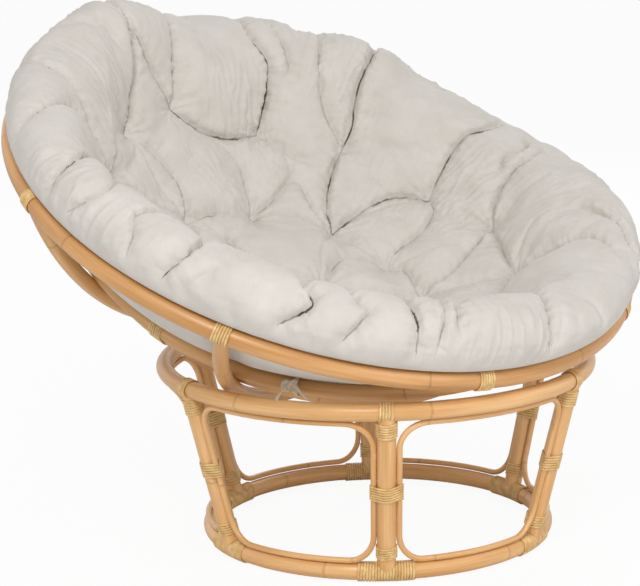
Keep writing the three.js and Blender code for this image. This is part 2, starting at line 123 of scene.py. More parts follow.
# %% Colour and node helpers
def linear(colour):
    """An sRGB hex colour as linear red, green, blue and alpha."""
    parts = [int(colour[i:i + 2], 16) / 255 for i in (1, 3, 5)]
    return [c / 12.92 if c <= 0.04045 else ((c + 0.055) / 1.055) ** 2.4 for c in parts] + [1]


def set_all(thing, settings):
    for name, value in settings.items():
        setattr(thing, name, value)
    return thing


def add(tree, kind, sockets=None, **settings):
    """Adds a shader node. A socket takes a value, a node's output, or a node for its first output."""
    made = set_all(tree.nodes.new("ShaderNode" + kind), settings)
    for name, value in (sockets or {}).items():
        if isinstance(value, bpy.types.Node):
            value = value.outputs[0]
        if isinstance(value, bpy.types.NodeSocket):
            tree.links.new(value, made.inputs[name])
        else:
            made.inputs[name].default_value = value
    return made


def new_finish(name):
    """A material with an empty node tree, and that tree."""
    material = bpy.data.materials.new(name)
    material.use_nodes = True
    material.node_tree.nodes.clear()
    return material, material.node_tree


# %% [markdown]
# ## Rattan pole
# Rattan is a climbing palm with a solid stem. The skin is left on and lacquered, so it is a warm
# honey colour with fine fibres that run along the pole, slow changes of tone, a dark ring with a
# slight ridge at each growth joint, and a satin sheen from the lacquer. The fibres must follow the
# bends, so each pole carries an attribute named grain: how far along the pole a point lies, and
# its place in the pole's section. All scales below are per metre of that.

# %% Rattan finish
FIBRE_MM = 1.3
JOINT_SPACING = 0.31


def rattan_finish(name, pale, deep, joint):
    material, tree = new_finish(name)
    grain = add(tree, "Attribute", attribute_name="grain").outputs["Vector"]
    across = 1 / (FIBRE_MM * MM)
    fine = add(tree, "VectorMath", {0: grain, 1: (9, across, across)}, operation="MULTIPLY")
    fibre = add(tree, "TexNoise", {"Vector": fine, "Scale": 1, "Detail": 3, "Roughness": 0.6})
    broad = add(tree, "VectorMath", {0: grain, 1: (5, 60, 60)}, operation="MULTIPLY")
    tone = add(tree, "TexNoise", {"Vector": broad, "Scale": 1, "Detail": 2, "Roughness": 0.5})
    mixed = add(tree, "Math", {0: fibre, 1: 0.45}, operation="MULTIPLY")
    blend = add(tree, "Math", {0: tone, 1: 0.75, 2: mixed}, operation="MULTIPLY_ADD")
    share = add(tree, "MapRange", {"Value": blend, "From Min": 0.4, "From Max": 0.78})
    skin = add(tree, "Mix", {0: share, 6: linear(deep), 7: linear(pale)}, data_type="RGBA")
    # Growth joints: a thin dark ring where the wobbling length passes a whole spacing
    along = add(tree, "SeparateXYZ", {"Vector": grain})
    wobble = add(tree, "Math", {0: tone, 1: 0.008, 2: along}, operation="MULTIPLY_ADD")
    from_joint = add(tree, "Math", {0: wobble, 1: JOINT_SPACING / 2}, operation="PINGPONG")
    ring, ridge = (add(tree, "MapRange", {
        "Value": from_joint, "From Min": low, "From Max": high, "To Min": 1.0, "To Max": 0.0,
    }, interpolation_type="SMOOTHSTEP") for low, high in ((0.0004, 0.0034), (0.0, 0.007)))
    patchy = add(tree, "MapRange",
                 {"Value": fibre, "From Min": 0.35, "From Max": 0.65, "To Min": 0.1, "To Max": 0.55})
    ring_share = add(tree, "Math", {0: ring, 1: patchy}, operation="MULTIPLY")
    colour = add(tree, "Mix", {0: ring_share, 6: skin.outputs[2], 7: linear(joint)}, data_type="RGBA")
    height = add(tree, "Math", {0: ridge, 1: 2.0, 2: fibre}, operation="MULTIPLY_ADD")
    bump = add(tree, "Bump", {"Strength": 0.35, "Distance": 0.0006, "Height": height})
    gloss = add(tree, "MapRange",
                {"Value": fibre, "From Min": 0.3, "From Max": 0.7, "To Min": 0.34, "To Max": 0.48})
    shader = add(tree, "BsdfPrincipled", {
        "Base Color": colour.outputs[2], "Roughness": gloss, "IOR": 1.5, "Coat Weight": 0.3,
        "Coat Roughness": 0.22, "Normal": bump,
    })
    add(tree, "OutputMaterial", {"Surface": shader})
    return material


RATTAN = rattan_finish("rattan_pole_satin_lacquer", "#efc187", "#d29a58", "#8f6233")
# The ribs and the hoop lie under the cushion, so their rattan is a darker copy of it: painted shade
RATTAN_SHADED = rattan_finish("rattan_pole_painted_shade", "#e4b478", "#c38b4c", "#80562e")
RATTAN_RIM = rattan_finish("rattan_pole_rim_tone", "#e0aa6e", "#b98142", "#7c552c")
print("rattan:", len(RATTAN.node_tree.nodes), "nodes")

# %% [markdown]
# ## Rattan peel
# The lashings are peel, the outer skin of the same plant split into flat strips. It is shinier
# and a little yellower than the poles, and each strip differs slightly from turn to turn. The
# tone follows Object coordinates, because a strip is so narrow that its direction hardly shows.

# %% Peel finish
def peel_finish(name, pale, deep):
    material, tree = new_finish(name)
    place = add(tree, "TexCoord").outputs["Object"]
    tone, fibre = (add(tree, "TexNoise", {
        "Vector": place, "Scale": scale, "Detail": 2, "Roughness": 0.6,
    }) for scale in (90, 900))
    share = add(tree, "MapRange", {"Value": tone, "From Min": 0.34, "From Max": 0.68})
    skin = add(tree, "Mix", {0: share, 6: linear(deep), 7: linear(pale)}, data_type="RGBA")
    bump = add(tree, "Bump", {"Strength": 0.25, "Distance": 0.0003, "Height": fibre})
    shader = add(tree, "BsdfPrincipled", {
        "Base Color": skin.outputs[2], "Roughness": 0.42, "IOR": 1.5, "Coat Weight": 0.2,
        "Coat Roughness": 0.3, "Normal": bump,
    })
    add(tree, "OutputMaterial", {"Surface": shader})
    return material


PEEL = peel_finish("rattan_peel_lashing", "#edca8c", "#d0a566")

# %% [markdown]
# ## Cotton canvas
# The cover is plain-woven cotton in off-white, soft and matt. Its thread spacing is about half a
# millimetre, which is too fine to show, so the weave is drawn at twice that. Washing leaves
# slubs, soft crumples and a faint mottling. Each piece of cloth has a UV map in metres that
# follows the surface, so that the weave doesn't stretch where the cushion turns over.

# %% Canvas finish
THREAD = 1.1 * MM
# How far the painted shade of a fold's line reaches
FOLD_SHADE_REACH = 2.2  # millimetres on each side of a fold


def canvas_finish(name, pale, deep):
    material, tree = new_finish(name)
    cloth = add(tree, "UVMap", uv_map="cloth")
    mottle = add(tree, "TexNoise", {"Vector": cloth, "Scale": 14, "Detail": 4, "Roughness": 0.6})
    warp, weft = (add(tree, "TexWave", {
        "Vector": cloth, "Scale": 0.314 / THREAD, "Distortion": 1.5, "Detail": 1, "Detail Scale": 0.4,
    }, bands_direction=direction).outputs["Fac"] for direction in "XY")
    weave = add(tree, "Math", {0: warp, 1: weft}, operation="MAXIMUM")
    slubs = []
    for stretch in ((60, 900, 1), (900, 60, 1)):
        line = add(tree, "VectorMath", {0: cloth, 1: stretch}, operation="MULTIPLY")
        slubs.append(add(tree, "TexNoise", {"Vector": line, "Scale": 1, "Detail": 1}))
    slub = add(tree, "Math", {0: slubs[0], 1: slubs[1]}, operation="ADD")
    tone = add(tree, "Math", {0: slub, 1: 0.22, 2: mottle}, operation="MULTIPLY_ADD")
    share = add(tree, "MapRange", {"Value": tone, "From Min": 0.5, "From Max": 0.95})
    plain = add(tree, "Mix", {0: share, 6: linear(deep), 7: linear(pale)}, data_type="RGBA")
    crumple = add(tree, "TexNoise", {
        "Vector": cloth, "Scale": 22, "Detail": 4, "Roughness": 0.5, "Distortion": 1.2,
    }, noise_type="RIDGED_MULTIFRACTAL")
    soft = add(tree, "Bump", {"Strength": 0.65, "Distance": 0.003, "Height": crumple})
    yarn = add(tree, "Math", {0: slub, 1: 0.8, 2: weave}, operation="MULTIPLY_ADD")
    bump = add(tree, "Bump", {"Strength": 0.3, "Distance": 0.0004, "Height": yarn, "Normal": soft})
    # Two layers of cloth meet in a tight fold, whose shade is finer than the mesh can hold, so a dark
    # line of painted shade stands in for it. Each point knows how many millimetres it lies beside the
    # fold, minus on one side of it.
    beside, strength = (add(tree, "Attribute", attribute_name=name).outputs["Fac"]
                        for name in ("beside_fold", "fold_shade_strength"))
    off = add(tree, "Math", {0: beside}, operation="ABSOLUTE")
    line = add(tree, "MapRange", {
        "Value": off, "From Min": 0.0, "From Max": FOLD_SHADE_REACH, "To Min": 0.9, "To Max": 0.0,
    }, interpolation_type="SMOOTHERSTEP")
    # How much painted shade each point gets, and the dark colour of that painted shade
    painted_fold_shade = add(tree, "Math", {0: line, 1: strength}, operation="MULTIPLY")
    colour = add(tree, "Mix", {0: painted_fold_shade, 6: plain.outputs[2], 7: linear("#5f5549")}, data_type="RGBA")
    shader = add(tree, "BsdfPrincipled", {
        "Base Color": colour.outputs[2], "Roughness": 0.9, "IOR": 1.45, "Specular IOR Level": 0.25,
        "Sheen Weight": 0.12, "Sheen Roughness": 0.5, "Normal": bump,
    })
    add(tree, "OutputMaterial", {"Surface": shader})
    return material


CANVAS = canvas_finish("cotton_canvas_off_white", "#d9d4cd", "#cec8c0")
TAPE = canvas_finish("cotton_tape_grey_beige", "#eadfce", "#d3c4ae")

# %% [markdown]
# ## Helpers for modelling
# Each pole is made as by hand: a circle is added where the pole starts, facing along it, and then
# spun about the bend's axis or extruded. Everything is deselected first, since an operator acts
# on all that is selected. When a piece is done its place goes into its mesh, its doubles are
# merged, its ends are closed and its faces are turned outwards.

# %% Modelling helpers
POLE_SIDES = 24
MERGE_DISTANCE = 0.02 * MM
ALL_PIECES = []


def start_afresh():
    if bpy.context.object and bpy.context.object.mode != "OBJECT":
        bpy.ops.object.mode_set(mode="OBJECT")
    bpy.ops.object.select_all(action="DESELECT")


def polar(azimuth, radius, height):
    return Vector((radius * math.cos(azimuth), radius * math.sin(azimuth), height))


def add_section(radius, place, tangent):
    """A circle that faces along the pole, in edit mode and selected."""
    start_afresh()
    turn = Vector(tangent).to_track_quat("Z", "Y").to_euler()
    bpy.ops.mesh.primitive_circle_add(vertices=POLE_SIDES, radius=radius, location=place, rotation=turn)
    bpy.ops.object.transform_apply(location=True, rotation=True, scale=True)
    bpy.ops.object.mode_set(mode="EDIT")
    bpy.ops.mesh.select_all(action="SELECT")


def finish_shape(name, matrix=None, smooth_degrees=40):
    """Closes, smooths and names the piece in hand, and moves its mesh by the matrix."""
    piece = bpy.context.object
    bpy.ops.object.mode_set(mode="EDIT")
    bpy.ops.mesh.select_all(action="SELECT")
    bpy.ops.mesh.remove_doubles(threshold=MERGE_DISTANCE)
    bpy.ops.mesh.fill_holes(sides=0)
    bpy.ops.mesh.select_all(action="SELECT")
    bpy.ops.mesh.normals_make_consistent(inside=False)
    bpy.ops.object.mode_set(mode="OBJECT")
    bpy.ops.object.shade_smooth_by_angle(angle=math.radians(smooth_degrees))
    piece.name = piece.data.name = name
    if matrix is not None:
        piece.data.transform(matrix)
    return piece


def read_points(piece, what="co"):
    """The places of a mesh's vertices, or with "normal" their normals."""
    values = np.empty(len(piece.data.vertices) * 3, dtype=np.float32)
    piece.data.vertices.foreach_get(what, values)
    return values.reshape(-1, 3).astype(float)


def store_grain(piece, line, across, start=0.0):
    """Stores how far along the centre line each point lies, and where in the section. The start
    differs from pole to pole, so that no two have the same grain."""
    line = np.array([tuple(p) for p in line])
    step = np.diff(line, axis=0)
    length = np.linalg.norm(step, axis=1)
    unit = step / length[:, None]
    before = np.concatenate([[0], np.cumsum(length)[:-1]])
    points = read_points(piece)
    travel = np.einsum("vsk,sk->vs", points[:, None] - line[None, :-1], unit)
    inside = np.clip(travel, 0, length)
    foot = line[None, :-1] + inside[..., None] * unit
    near = np.linalg.norm(points[:, None] - foot, axis=2).argmin(axis=1)
    rows = np.arange(len(points))
    offset = points - foot[rows, near]
    side = np.array(across) - (unit @ np.array(across))[:, None] * unit
    side /= np.linalg.norm(side, axis=1)[:, None]
    other = np.cross(unit, side)
    grain = np.stack([
        start + before[near] + travel[rows, near],
        np.einsum("vk,vk->v", offset, side[near]),
        np.einsum("vk,vk->v", offset, other[near]),
    ], axis=1)
    layer = piece.data.attributes.new("grain", "FLOAT_VECTOR", "POINT")
    layer.data.foreach_set("vector", grain.astype(np.float32).ravel())


def hand_over(piece, body, finish, slot, *nodes):
    """Gives a finished piece its finish, its body and the nodes that it stands for."""
    piece.data.materials.clear()
    piece.data.materials.append(finish)
    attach(piece, body)
    if nodes:
        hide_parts(*nodes)
    ALL_PIECES.append(piece)


# %% [markdown]
# ## Rings of the stand, and the bowl's rim and hoop
# Each is one long pole bent to a circle over heat, with its ends cut on the slant and glued under
# a lashing. A circle spun once round an axis gives that shape exactly. A torus primitive would
# too, but the spin starts at a chosen place, so the fibres' seam lies under a lashing as well.

# %% Spin the rings
LINE_STEPS, RING_SHIFT = 144, 0.137


def bent_ring(name, middle, radius, pole, seam, steps):
    start = middle + polar(seam, radius, 0)
    add_section(pole, start, (-math.sin(seam), math.cos(seam), 0))
    bpy.ops.mesh.spin(steps=steps, angle=2 * math.pi, center=middle, axis=(0, 0, 1))
    piece = finish_shape(name)
    line = [middle + polar(seam + i * math.tau / LINE_STEPS, radius, 0) for i in range(LINE_STEPS + 1)]
    store_grain(piece, line, (0, 0, 1), start=RING_SHIFT * len(ALL_PIECES))
    return piece


for name, height, radius, seam, steps in (
        ("top_ring", TOP_RING_HEIGHT, TOP_RING_RADIUS, POST_TURN + 2 * BAY, 144),
        ("bottom_ring", BOTTOM_RING_HEIGHT, BOTTOM_RING_RADIUS, POST_TURN + 3 * BAY, 120)):
    ring = bent_ring(name, STAND + Vector((0, 0, height)), radius, RING_POLE, seam, steps)
    hand_over(ring, "stand", RATTAN, "rattan", f"stand_{name}")
rim = bent_ring("rim", Vector((0, 0, -PIVOT_ABOVE_RIM)), RIM_RADIUS, RIM_POLE,
                RIB_TURN + math.radians(90), 180)
rim.data.transform(BOWL)
hand_over(rim, "bowl_frame", RATTAN_RIM, "rattan", "bowl_rim")
print("rings spun:", [p.name for p in ALL_PIECES])

# %% [markdown]
# ## Ribs of the bowl
# Four ribs hang from the rim like the bows of a boat. Each is a pole bent to a part of a circle in
# a plane of its own: two wide ones lean outwards and carry the cushion's side, and two deep ones
# pass under it and rest in the stand's upper ring. A circle spun by less than a full turn gives
# the arc. Each end stops inside the rim's pole, where the lashing covers it.

# %% Spin the ribs
SIDE_SAG, SIDE_LEAN = 225 * MM, math.radians(45)
DEEP_SAG, DEEP_LEAN = 313 * MM, math.radians(-15)
RIB_END_TRIM = 13.5 * MM
RIB_STEPS, RIB_SHIFT = 72, 0.083


def rib_arc(first, last, sag, lean):
    """A rib's bend, level about the pivot: middle, plane normal, start, angle, radius, lowest point."""
    start, end = (polar(RIB_TURN + place * math.tau / 8, RIM_RADIUS, -PIVOT_ABOVE_RIM)
                  for place in (first, last))
    middle = (start + end) / 2
    half = (end - start).length / 2
    bend = (half ** 2 + sag ** 2) / (2 * sag)
    outwards = Vector((middle.x, middle.y, 0)).normalized()
    down = outwards * math.sin(lean) - Vector((0, 0, math.cos(lean)))
    normal = (end - start).normalized().cross(down)
    centre, lowest = middle + down * (sag - bend), middle + down * sag
    angle = 2 * math.asin(half / bend)
    if sag > bend:
        angle = math.tau - angle
    # The angle is minus where a small plus turn takes the start away from the lowest point
    plus, minus = ((Matrix.Rotation(turn, 3, normal) @ (start - centre) + centre - lowest).length
                   for turn in (0.1, -0.1))
    return centre, normal, start, angle if plus < minus else -angle, bend, lowest


def on_arc(arc, share):
    """The place at a share of a rib's bend."""
    centre, normal, start, angle = arc[:4]
    return centre + Matrix.Rotation(angle * share, 3, normal) @ (start - centre)


def rib(name, arc, node):
    centre, normal, _, angle, bend, _ = arc
    trim = RIB_END_TRIM / bend / abs(angle)
    at = [on_arc(arc, trim + (1 - 2 * trim) * i / RIB_STEPS) for i in range(RIB_STEPS + 1)]
    POLE_LINES.append(at)
    add_section(RIB_POLE, at[0], (at[1] - at[0]).normalized())
    # The spin operator turns the other way round its axis than a rotation matrix does
    bpy.ops.mesh.spin(steps=RIB_STEPS, angle=-angle * (1 - 2 * trim), center=centre, axis=normal)
    piece = finish_shape(name)
    store_grain(piece, at, normal, start=RIB_SHIFT * len(ALL_PIECES))
    print(name, "bend radius mm", round(bend / MM))
    piece.data.transform(BOWL)
    hand_over(piece, "bowl_frame", RATTAN_SHADED, "rattan_shaded", node)


POLE_LINES = []
side_arcs = [rib_arc(3, 6, SIDE_SAG, SIDE_LEAN), rib_arc(7, 10, SIDE_SAG, SIDE_LEAN)]
deep_arcs = [rib_arc(1, 4, DEEP_SAG, DEEP_LEAN), rib_arc(5, 8, DEEP_SAG, DEEP_LEAN)]
for i, arc in enumerate(side_arcs):
    rib(f"wide_rib_{i + 1}", arc, f"side_rib_{i + 1}")
for i, arc in enumerate(deep_arcs):
    rib(f"low_rib_{i + 1}", arc, f"deep_rib_{i + 1}")

# %% [markdown]
# ## The hoop
# A smaller ring inside the wide ribs keeps them apart. It is seated on the ribs' lowest points,
# up and inwards, where one lashing on each side ties it down.

# %% Spin the hoop
# The solid ribs have eight flat sides, and the hoop lies on a flat
HOOP_SEAT = RIB_POLE * math.cos(math.pi / 8) + HOOP_POLE + 0.4 * MM
HOOP_SEAT_ANGLE = math.radians(43)
lowest = side_arcs[0][5]
low_radius = math.hypot(lowest.x, lowest.y)
HOOP_RADIUS = low_radius - HOOP_SEAT * math.cos(HOOP_SEAT_ANGLE)
HOOP_HEIGHT = lowest.z - HOOP_SEAT * math.sin(HOOP_SEAT_ANGLE)
side_azimuths = [math.atan2(arc[5].y, arc[5].x) for arc in side_arcs]
hoop = bent_ring("hoop", Vector((0, 0, HOOP_HEIGHT)), HOOP_RADIUS, HOOP_POLE, side_azimuths[0], 120)
POLE_LINES.append([polar(i * math.tau / 72, HOOP_RADIUS, HOOP_HEIGHT) for i in range(72)])
hoop.data.transform(BOWL)
hand_over(hoop, "bowl_frame", RATTAN_SHADED, "rattan_shaded", "bowl_hoop")
print("hoop radius mm", round(HOOP_RADIUS / MM, 1), "height mm", round(HOOP_HEIGHT / MM, 1))

# %% [markdown]
# ## Posts
# Six straight poles lean outwards from the bottom ring to the top ring. A carpenter hollows each
# end with a round cutter so that it fits the ring. One post is extruded from a circle along Z, a
# Boolean with a cylinder of the ring's size hollows both ends, and six copies are placed. The lower
# hollow is wider, which leaves room for the winding of the bottom ring.

# %% Helpers for modifiers and copies
def take_up(piece):
    """Makes this the only selected piece and the one that operators act on."""
    start_afresh()
    bpy.context.view_layer.objects.active = piece
    piece.select_set(True)


def apply_modifier(piece, kind, **settings):
    take_up(piece)
    made = set_all(piece.modifiers.new(kind, kind), settings)
    bpy.ops.object.modifier_apply(modifier=made.name)


def copy_piece(piece, name, matrix):
    """A copy with its own mesh, moved by the matrix."""
    made = put_in_scene(name, piece.data.copy())
    made.data.name = name
    made.data.transform(matrix)
    return made


# %% Make one post and copy it
def post_frame(index, distance):
    """A matrix whose Z runs up post number index, from a point that far up its middle."""
    azimuth = POST_TURN + index * BAY
    foot = STAND + polar(azimuth, BOTTOM_RING_RADIUS, BOTTOM_RING_HEIGHT)
    head = STAND + polar(azimuth, TOP_RING_RADIUS, TOP_RING_HEIGHT)
    along = (head - foot).normalized()
    side = polar(azimuth + math.pi / 2, 1, 0)
    front = along.cross(side)
    return Matrix.Translation(foot + along * distance) @ turned(side, front, along)


POST_LENGTH = math.hypot(TOP_RING_RADIUS - BOTTOM_RING_RADIUS, TOP_RING_HEIGHT - BOTTOM_RING_HEIGHT)
POST_INSET = 4 * MM
POST_STEPS, CUTTER_LENGTH = 12, 80 * MM
POST_SHIFT, POST_START = 0.21, 0.06
add_section(POST_POLE, (0, 0, POST_INSET), (0, 0, 1))
for _ in range(POST_STEPS):
    bpy.ops.mesh.extrude_region_move(
        TRANSFORM_OT_translate={"value": (0, 0, (POST_LENGTH - 2 * POST_INSET) / POST_STEPS)})
post = finish_shape("post_master")
for height, radius in ((0, RING_POLE + WRAP_ROOM), (POST_LENGTH, RING_POLE)):
    start_afresh()
    bpy.ops.mesh.primitive_cylinder_add(vertices=64, radius=radius, depth=CUTTER_LENGTH,
                                        location=(0, 0, height), rotation=(0, math.pi / 2, 0))
    cutter = bpy.context.object
    apply_modifier(post, "BOOLEAN", operation="DIFFERENCE", object=cutter, solver="EXACT")
    bpy.data.objects.remove(cutter)
bpy.ops.object.shade_smooth_by_angle(angle=math.radians(40))
store_grain(post, [(0, 0, 0), (0, 0, POST_LENGTH)], (1, 0, 0))
for i in range(6):
    piece = copy_piece(post, f"stand_post_{i + 1}", post_frame(i, 0))
    for point in piece.data.attributes["grain"].data:
        point.vector[0] += POST_SHIFT * i + POST_START
    hand_over(piece, "stand", RATTAN, "rattan", f"post_{i + 1}")
bpy.data.objects.remove(post)
print("post length mm", round(POST_LENGTH / MM, 1))

# %% [markdown]
# ## Rod loops
# In each bay a rod as thin as a finger is bent to a rectangle with round corners. It lies against
# the rings and posts, so it is curved as the stand is: its corner points are worked out flat and
# then laid on the cone between the two rings. A curve with a round bevel follows such a path
# evenly, and it is made a mesh before it is placed.

# %% Bend the rod loops
LOOP_CORNER = 44 * MM
CORNER_STEPS, RUN_STEPS, LOOP_SHIFT = 10, 8, 0.4
ROD_BESIDE_POST = POST_POLE + ROD + 0.2 * MM
# The solid bottom ring has ten flat sides and stands on one of them
cad_bottom_height = RING_POLE * math.cos(math.pi / 10)
slope = (TOP_RING_RADIUS - BOTTOM_RING_RADIUS) / (TOP_RING_HEIGHT - cad_bottom_height)
loop_low = BOTTOM_RING_HEIGHT + RING_POLE + ROD + 0.2 * MM
loop_high = TOP_RING_HEIGHT - RING_POLE - ROD - 0.3 * MM


def cone_radius(height):
    return BOTTOM_RING_RADIUS + slope * (height - cad_bottom_height)


def half_bay(height):
    return BAY / 2 - ROD_BESIDE_POST / cone_radius(height)


def loop_outline():
    """The flat outline as pairs of a sideways share and a height."""
    middle = (loop_low + loop_high) / 2
    half_width = half_bay(middle) * cone_radius(middle)
    x, y = half_width - LOOP_CORNER, (loop_high - loop_low) / 2 - LOOP_CORNER
    corners = [(x, y), (-x, y), (-x, -y), (x, -y)]

    def on_corner(number, share):
        angle = (number + share) * math.pi / 2
        x, y = corners[number % 4]
        return np.array((x + LOOP_CORNER * math.cos(angle), y + LOOP_CORNER * math.sin(angle)))

    outline = []
    for c in range(4):
        outline += [on_corner(c, i / CORNER_STEPS) for i in range(CORNER_STEPS + 1)]
        start, end = on_corner(c, 1), on_corner(c + 1, 0)
        outline += [start + (end - start) * i / RUN_STEPS for i in range(1, RUN_STEPS)]
    return [(px / half_width, middle + py) for px, py in outline]


def curve_piece(name, points, thickness, matrix=None, cyclic=False, flat=0.0, tilts=None):
    """A rod or a strip along points, as a finished mesh."""
    data = bpy.data.curves.new(name, "CURVE")
    data.dimensions = "3D"
    data.bevel_depth, data.bevel_resolution = thickness / 2, 4
    data.extrude = flat
    data.use_fill_caps = not cyclic
    spline = data.splines.new("POLY")
    spline.points.add(len(points) - 1)
    for point, place in zip(spline.points, points):
        point.co = (*place, 1)
    for point, tilt in zip(spline.points, tilts or []):
        point.tilt = tilt
    spline.use_cyclic_u = cyclic
    spline.use_smooth = True
    take_up(put_in_scene(name, data))
    bpy.ops.object.convert(target="MESH")
    return finish_shape(name, matrix)


for i in range(6):
    azimuth = POST_TURN + (i + 0.5) * BAY
    path = [STAND + polar(azimuth + share * half_bay(height), cone_radius(height), height)
            for share, height in loop_outline()]
    piece = curve_piece(f"rod_loop_{i + 1}", path, 2 * ROD, cyclic=True)
    store_grain(piece, path + path[:1], polar(azimuth, 1, -slope).normalized(), start=LOOP_SHIFT * i)
    hand_over(piece, "stand", RATTAN, "rattan", f"bay_loop_{i + 1}")
print("rod loops from", round(loop_low / MM), "to", round(loop_high / MM), "mm high")

# %% [markdown]
# ## Lashings
# Every joint is wound with one long strip of peel, turn beside turn. The strip is about four
# millimetres wide, flat inside and rounded outside. A flattened circle stands beside the Z
# axis, and a Screw modifier winds it. The winding is then laid on its pole by a matrix.

# %% Wind a strip of peel
STRIP_WIDTH, STRIP_THICKNESS, STRIP_PITCH = 3.9 * MM, 2.2 * MM, 4.4 * MM


def hull_radius(circles):
    """The radius by angle of the band that goes tightly round some circles (x, y, radius)."""
    angles = np.linspace(-math.pi, math.pi, 361)
    rays = np.stack([np.cos(angles), np.sin(angles)], axis=1)
    support = np.max([rays @ np.array(c[:2]) + c[2] for c in circles], axis=0)
    # A point of the hull along a ray is where the nearest of all its tangent lines crosses it
    turn = np.cos(angles[:, None] - angles[None, :])
    reach = np.where(turn > 0.02, support[None, :] / np.maximum(turn, 0.02), 9)
    return angles, reach.min(axis=1)


def write_points(piece, points):
    piece.data.vertices.foreach_set("co", points.astype(np.float32).ravel())
    piece.data.update()


def wound_strip(name, pole, turns, circles=None, steps=28):
    """A strip wound round a pole of that radius about Z, or round several poles side by side."""
    start_afresh()
    reach = pole + STRIP_THICKNESS / 2
    bpy.ops.mesh.primitive_circle_add(vertices=10, radius=0.5, rotation=(math.pi / 2, 0, 0),
                                      location=(reach, 0, -turns * STRIP_PITCH / 2))
    section = bpy.context.object
    section.scale = (STRIP_THICKNESS, STRIP_WIDTH, 1)
    bpy.ops.object.transform_apply(location=True, rotation=True, scale=True)
    apply_modifier(section, "SCREW", axis="Z", angle=math.tau, screw_offset=STRIP_PITCH,
                   iterations=turns, steps=steps, render_steps=steps)
    piece = finish_shape(name, smooth_degrees=60)
    if circles:
        angles, radii = hull_radius(circles)
        points = read_points(piece)
        here = np.hypot(points[:, 0], points[:, 1])
        want = np.interp(np.arctan2(points[:, 1], points[:, 0]), angles, radii)
        points[:, :2] *= ((want + here - pole) / here)[:, None]
        write_points(piece, points)
    return piece


def wrap_on_ring(master, name, azimuth, radius, height, base):
    """A copy of a winding, bent along a ring and moved by the matrix."""
    made = copy_piece(master, name, Matrix.Identity(4))
    for vertex in made.data.vertices:
        across, outwards, along = vertex.co
        vertex.co = polar(azimuth + along / radius, radius + outwards, height - across)
    made.data.transform(base)
    return made


# %% [markdown]
# The stand's windings: a strap over the top ring above each post, one round the post's head, one
# round its waist that holds the two loops beside it, one round its foot, and one round the bottom
# ring under the foot. The last has no node of its own, because it is thin trim. Each of the others
# lies over its node.

# %% Lash the stand
ring_strap = wound_strip("strap_master", RING_POLE + 0.5 * MM, 5)
head_wrap = wound_strip("head_master", POST_POLE, 6)
foot_wrap = wound_strip("foot_master", POST_POLE, 5)
floor_wrap = wound_strip("floor_master", RING_POLE + 0.1 * MM, 20)
waist_wrap = wound_strip("waist_master", POST_POLE, 6, steps=48, circles=[
    (0, 0, POST_POLE), (ROD_BESIDE_POST, 0, ROD), (-ROD_BESIDE_POST, 0, ROD)])

strap_reach = RING_POLE + 0.4 * MM + WRAP_ROOM
head_place = POST_LENGTH - strap_reach - 12.5 * MM
waist_place = POST_LENGTH / 2 + 2.2 * MM
foot_place = RING_POLE + 24 * MM
POST_WRAPS = ((head_wrap, head_place, "head_wrap", "post_cap_wrap"),
              (waist_wrap, waist_place, "waist_wrap", "post_waist_wrap"),
              (foot_wrap, foot_place, "foot_wrap", "post_foot_wrap"))
stand_base = Matrix.Translation(STAND)
for i in range(6):
    azimuth, n = POST_TURN + i * BAY, i + 1
    strap = wrap_on_ring(ring_strap, f"top_strap_{n}", azimuth, TOP_RING_RADIUS, TOP_RING_HEIGHT,
                         stand_base)
    hand_over(strap, "stand", PEEL, "peel", f"post_strap_{n}")
    for master, place, name, node in POST_WRAPS:
        wrap = copy_piece(master, f"{name}_{n}", post_frame(i, place))
        hand_over(wrap, "stand", PEEL, "peel", f"{node}_{n}")
    band = wrap_on_ring(floor_wrap, f"floor_wrap_{n}", azimuth, BOTTOM_RING_RADIUS, BOTTOM_RING_HEIGHT,
                        stand_base)
    hand_over(band, "stand", PEEL, "peel")
print("stand lashed,", len(ALL_PIECES), "pieces so far")

# %% [markdown]
# The bowl's windings: one round the rim over each rib end, and two that tie the hoop to the wide
# ribs. Each of those two goes round both poles at once, so its round shape is pushed out to the
# band that fits tightly about two circles.

# %% Lash the bowl
rim_wrap = wound_strip("rim_master", RIM_POLE + 0.4 * MM, 6)
for i in range(8):
    azimuth = RIB_TURN + i * math.tau / 8
    wrap = wrap_on_ring(rim_wrap, f"rim_lashing_{i + 1}", azimuth, RIM_RADIUS, -PIVOT_ABOVE_RIM, BOWL)
    hand_over(wrap, "bowl_frame", PEEL, "peel", f"rim_wrap_{i + 1}")

pair_wrap = wound_strip("pair_master", HOOP_POLE, 6, steps=48, circles=[
    (0, -HOOP_SEAT / 2, HOOP_POLE + 0.2 * MM), (0, HOOP_SEAT / 2, RIB_POLE + 0.2 * MM)])
pair_radius = (low_radius + HOOP_RADIUS) / 2
pair_height = (lowest.z + HOOP_HEIGHT) / 2
for i, azimuth in enumerate(side_azimuths):
    side = polar(azimuth, math.sin(HOOP_SEAT_ANGLE), -math.cos(HOOP_SEAT_ANGLE))
    front = polar(azimuth, math.cos(HOOP_SEAT_ANGLE), math.sin(HOOP_SEAT_ANGLE))
    place = Matrix.Translation(polar(azimuth, pair_radius, pair_height))
    place = BOWL @ place @ turned(side, front, side.cross(front))
    wrap = copy_piece(pair_wrap, f"hoop_lashing_{i + 1}", place)
    hand_over(wrap, "bowl_frame", PEEL, "peel", f"hoop_wrap_{i + 1}")
for master in (ring_strap, head_wrap, foot_wrap, floor_wrap, waist_wrap, rim_wrap, pair_wrap):
    bpy.data.objects.remove(master)
print("bowl lashed,", len(ALL_PIECES), "pieces so far")

# %% [markdown]
# ## The cushion's plain shape
# The cushion is a round sack of cotton filled with fibre. It is sewn through at some twenty
# tufts, so the cloth between them puffs up, and sharp creases run from tuft to tuft and out over
# the thick roll. Its outline from the middle of the seat over the roll to the middle of the
# underside is listed below, in millimetres from the axis and above the middle of the rim.

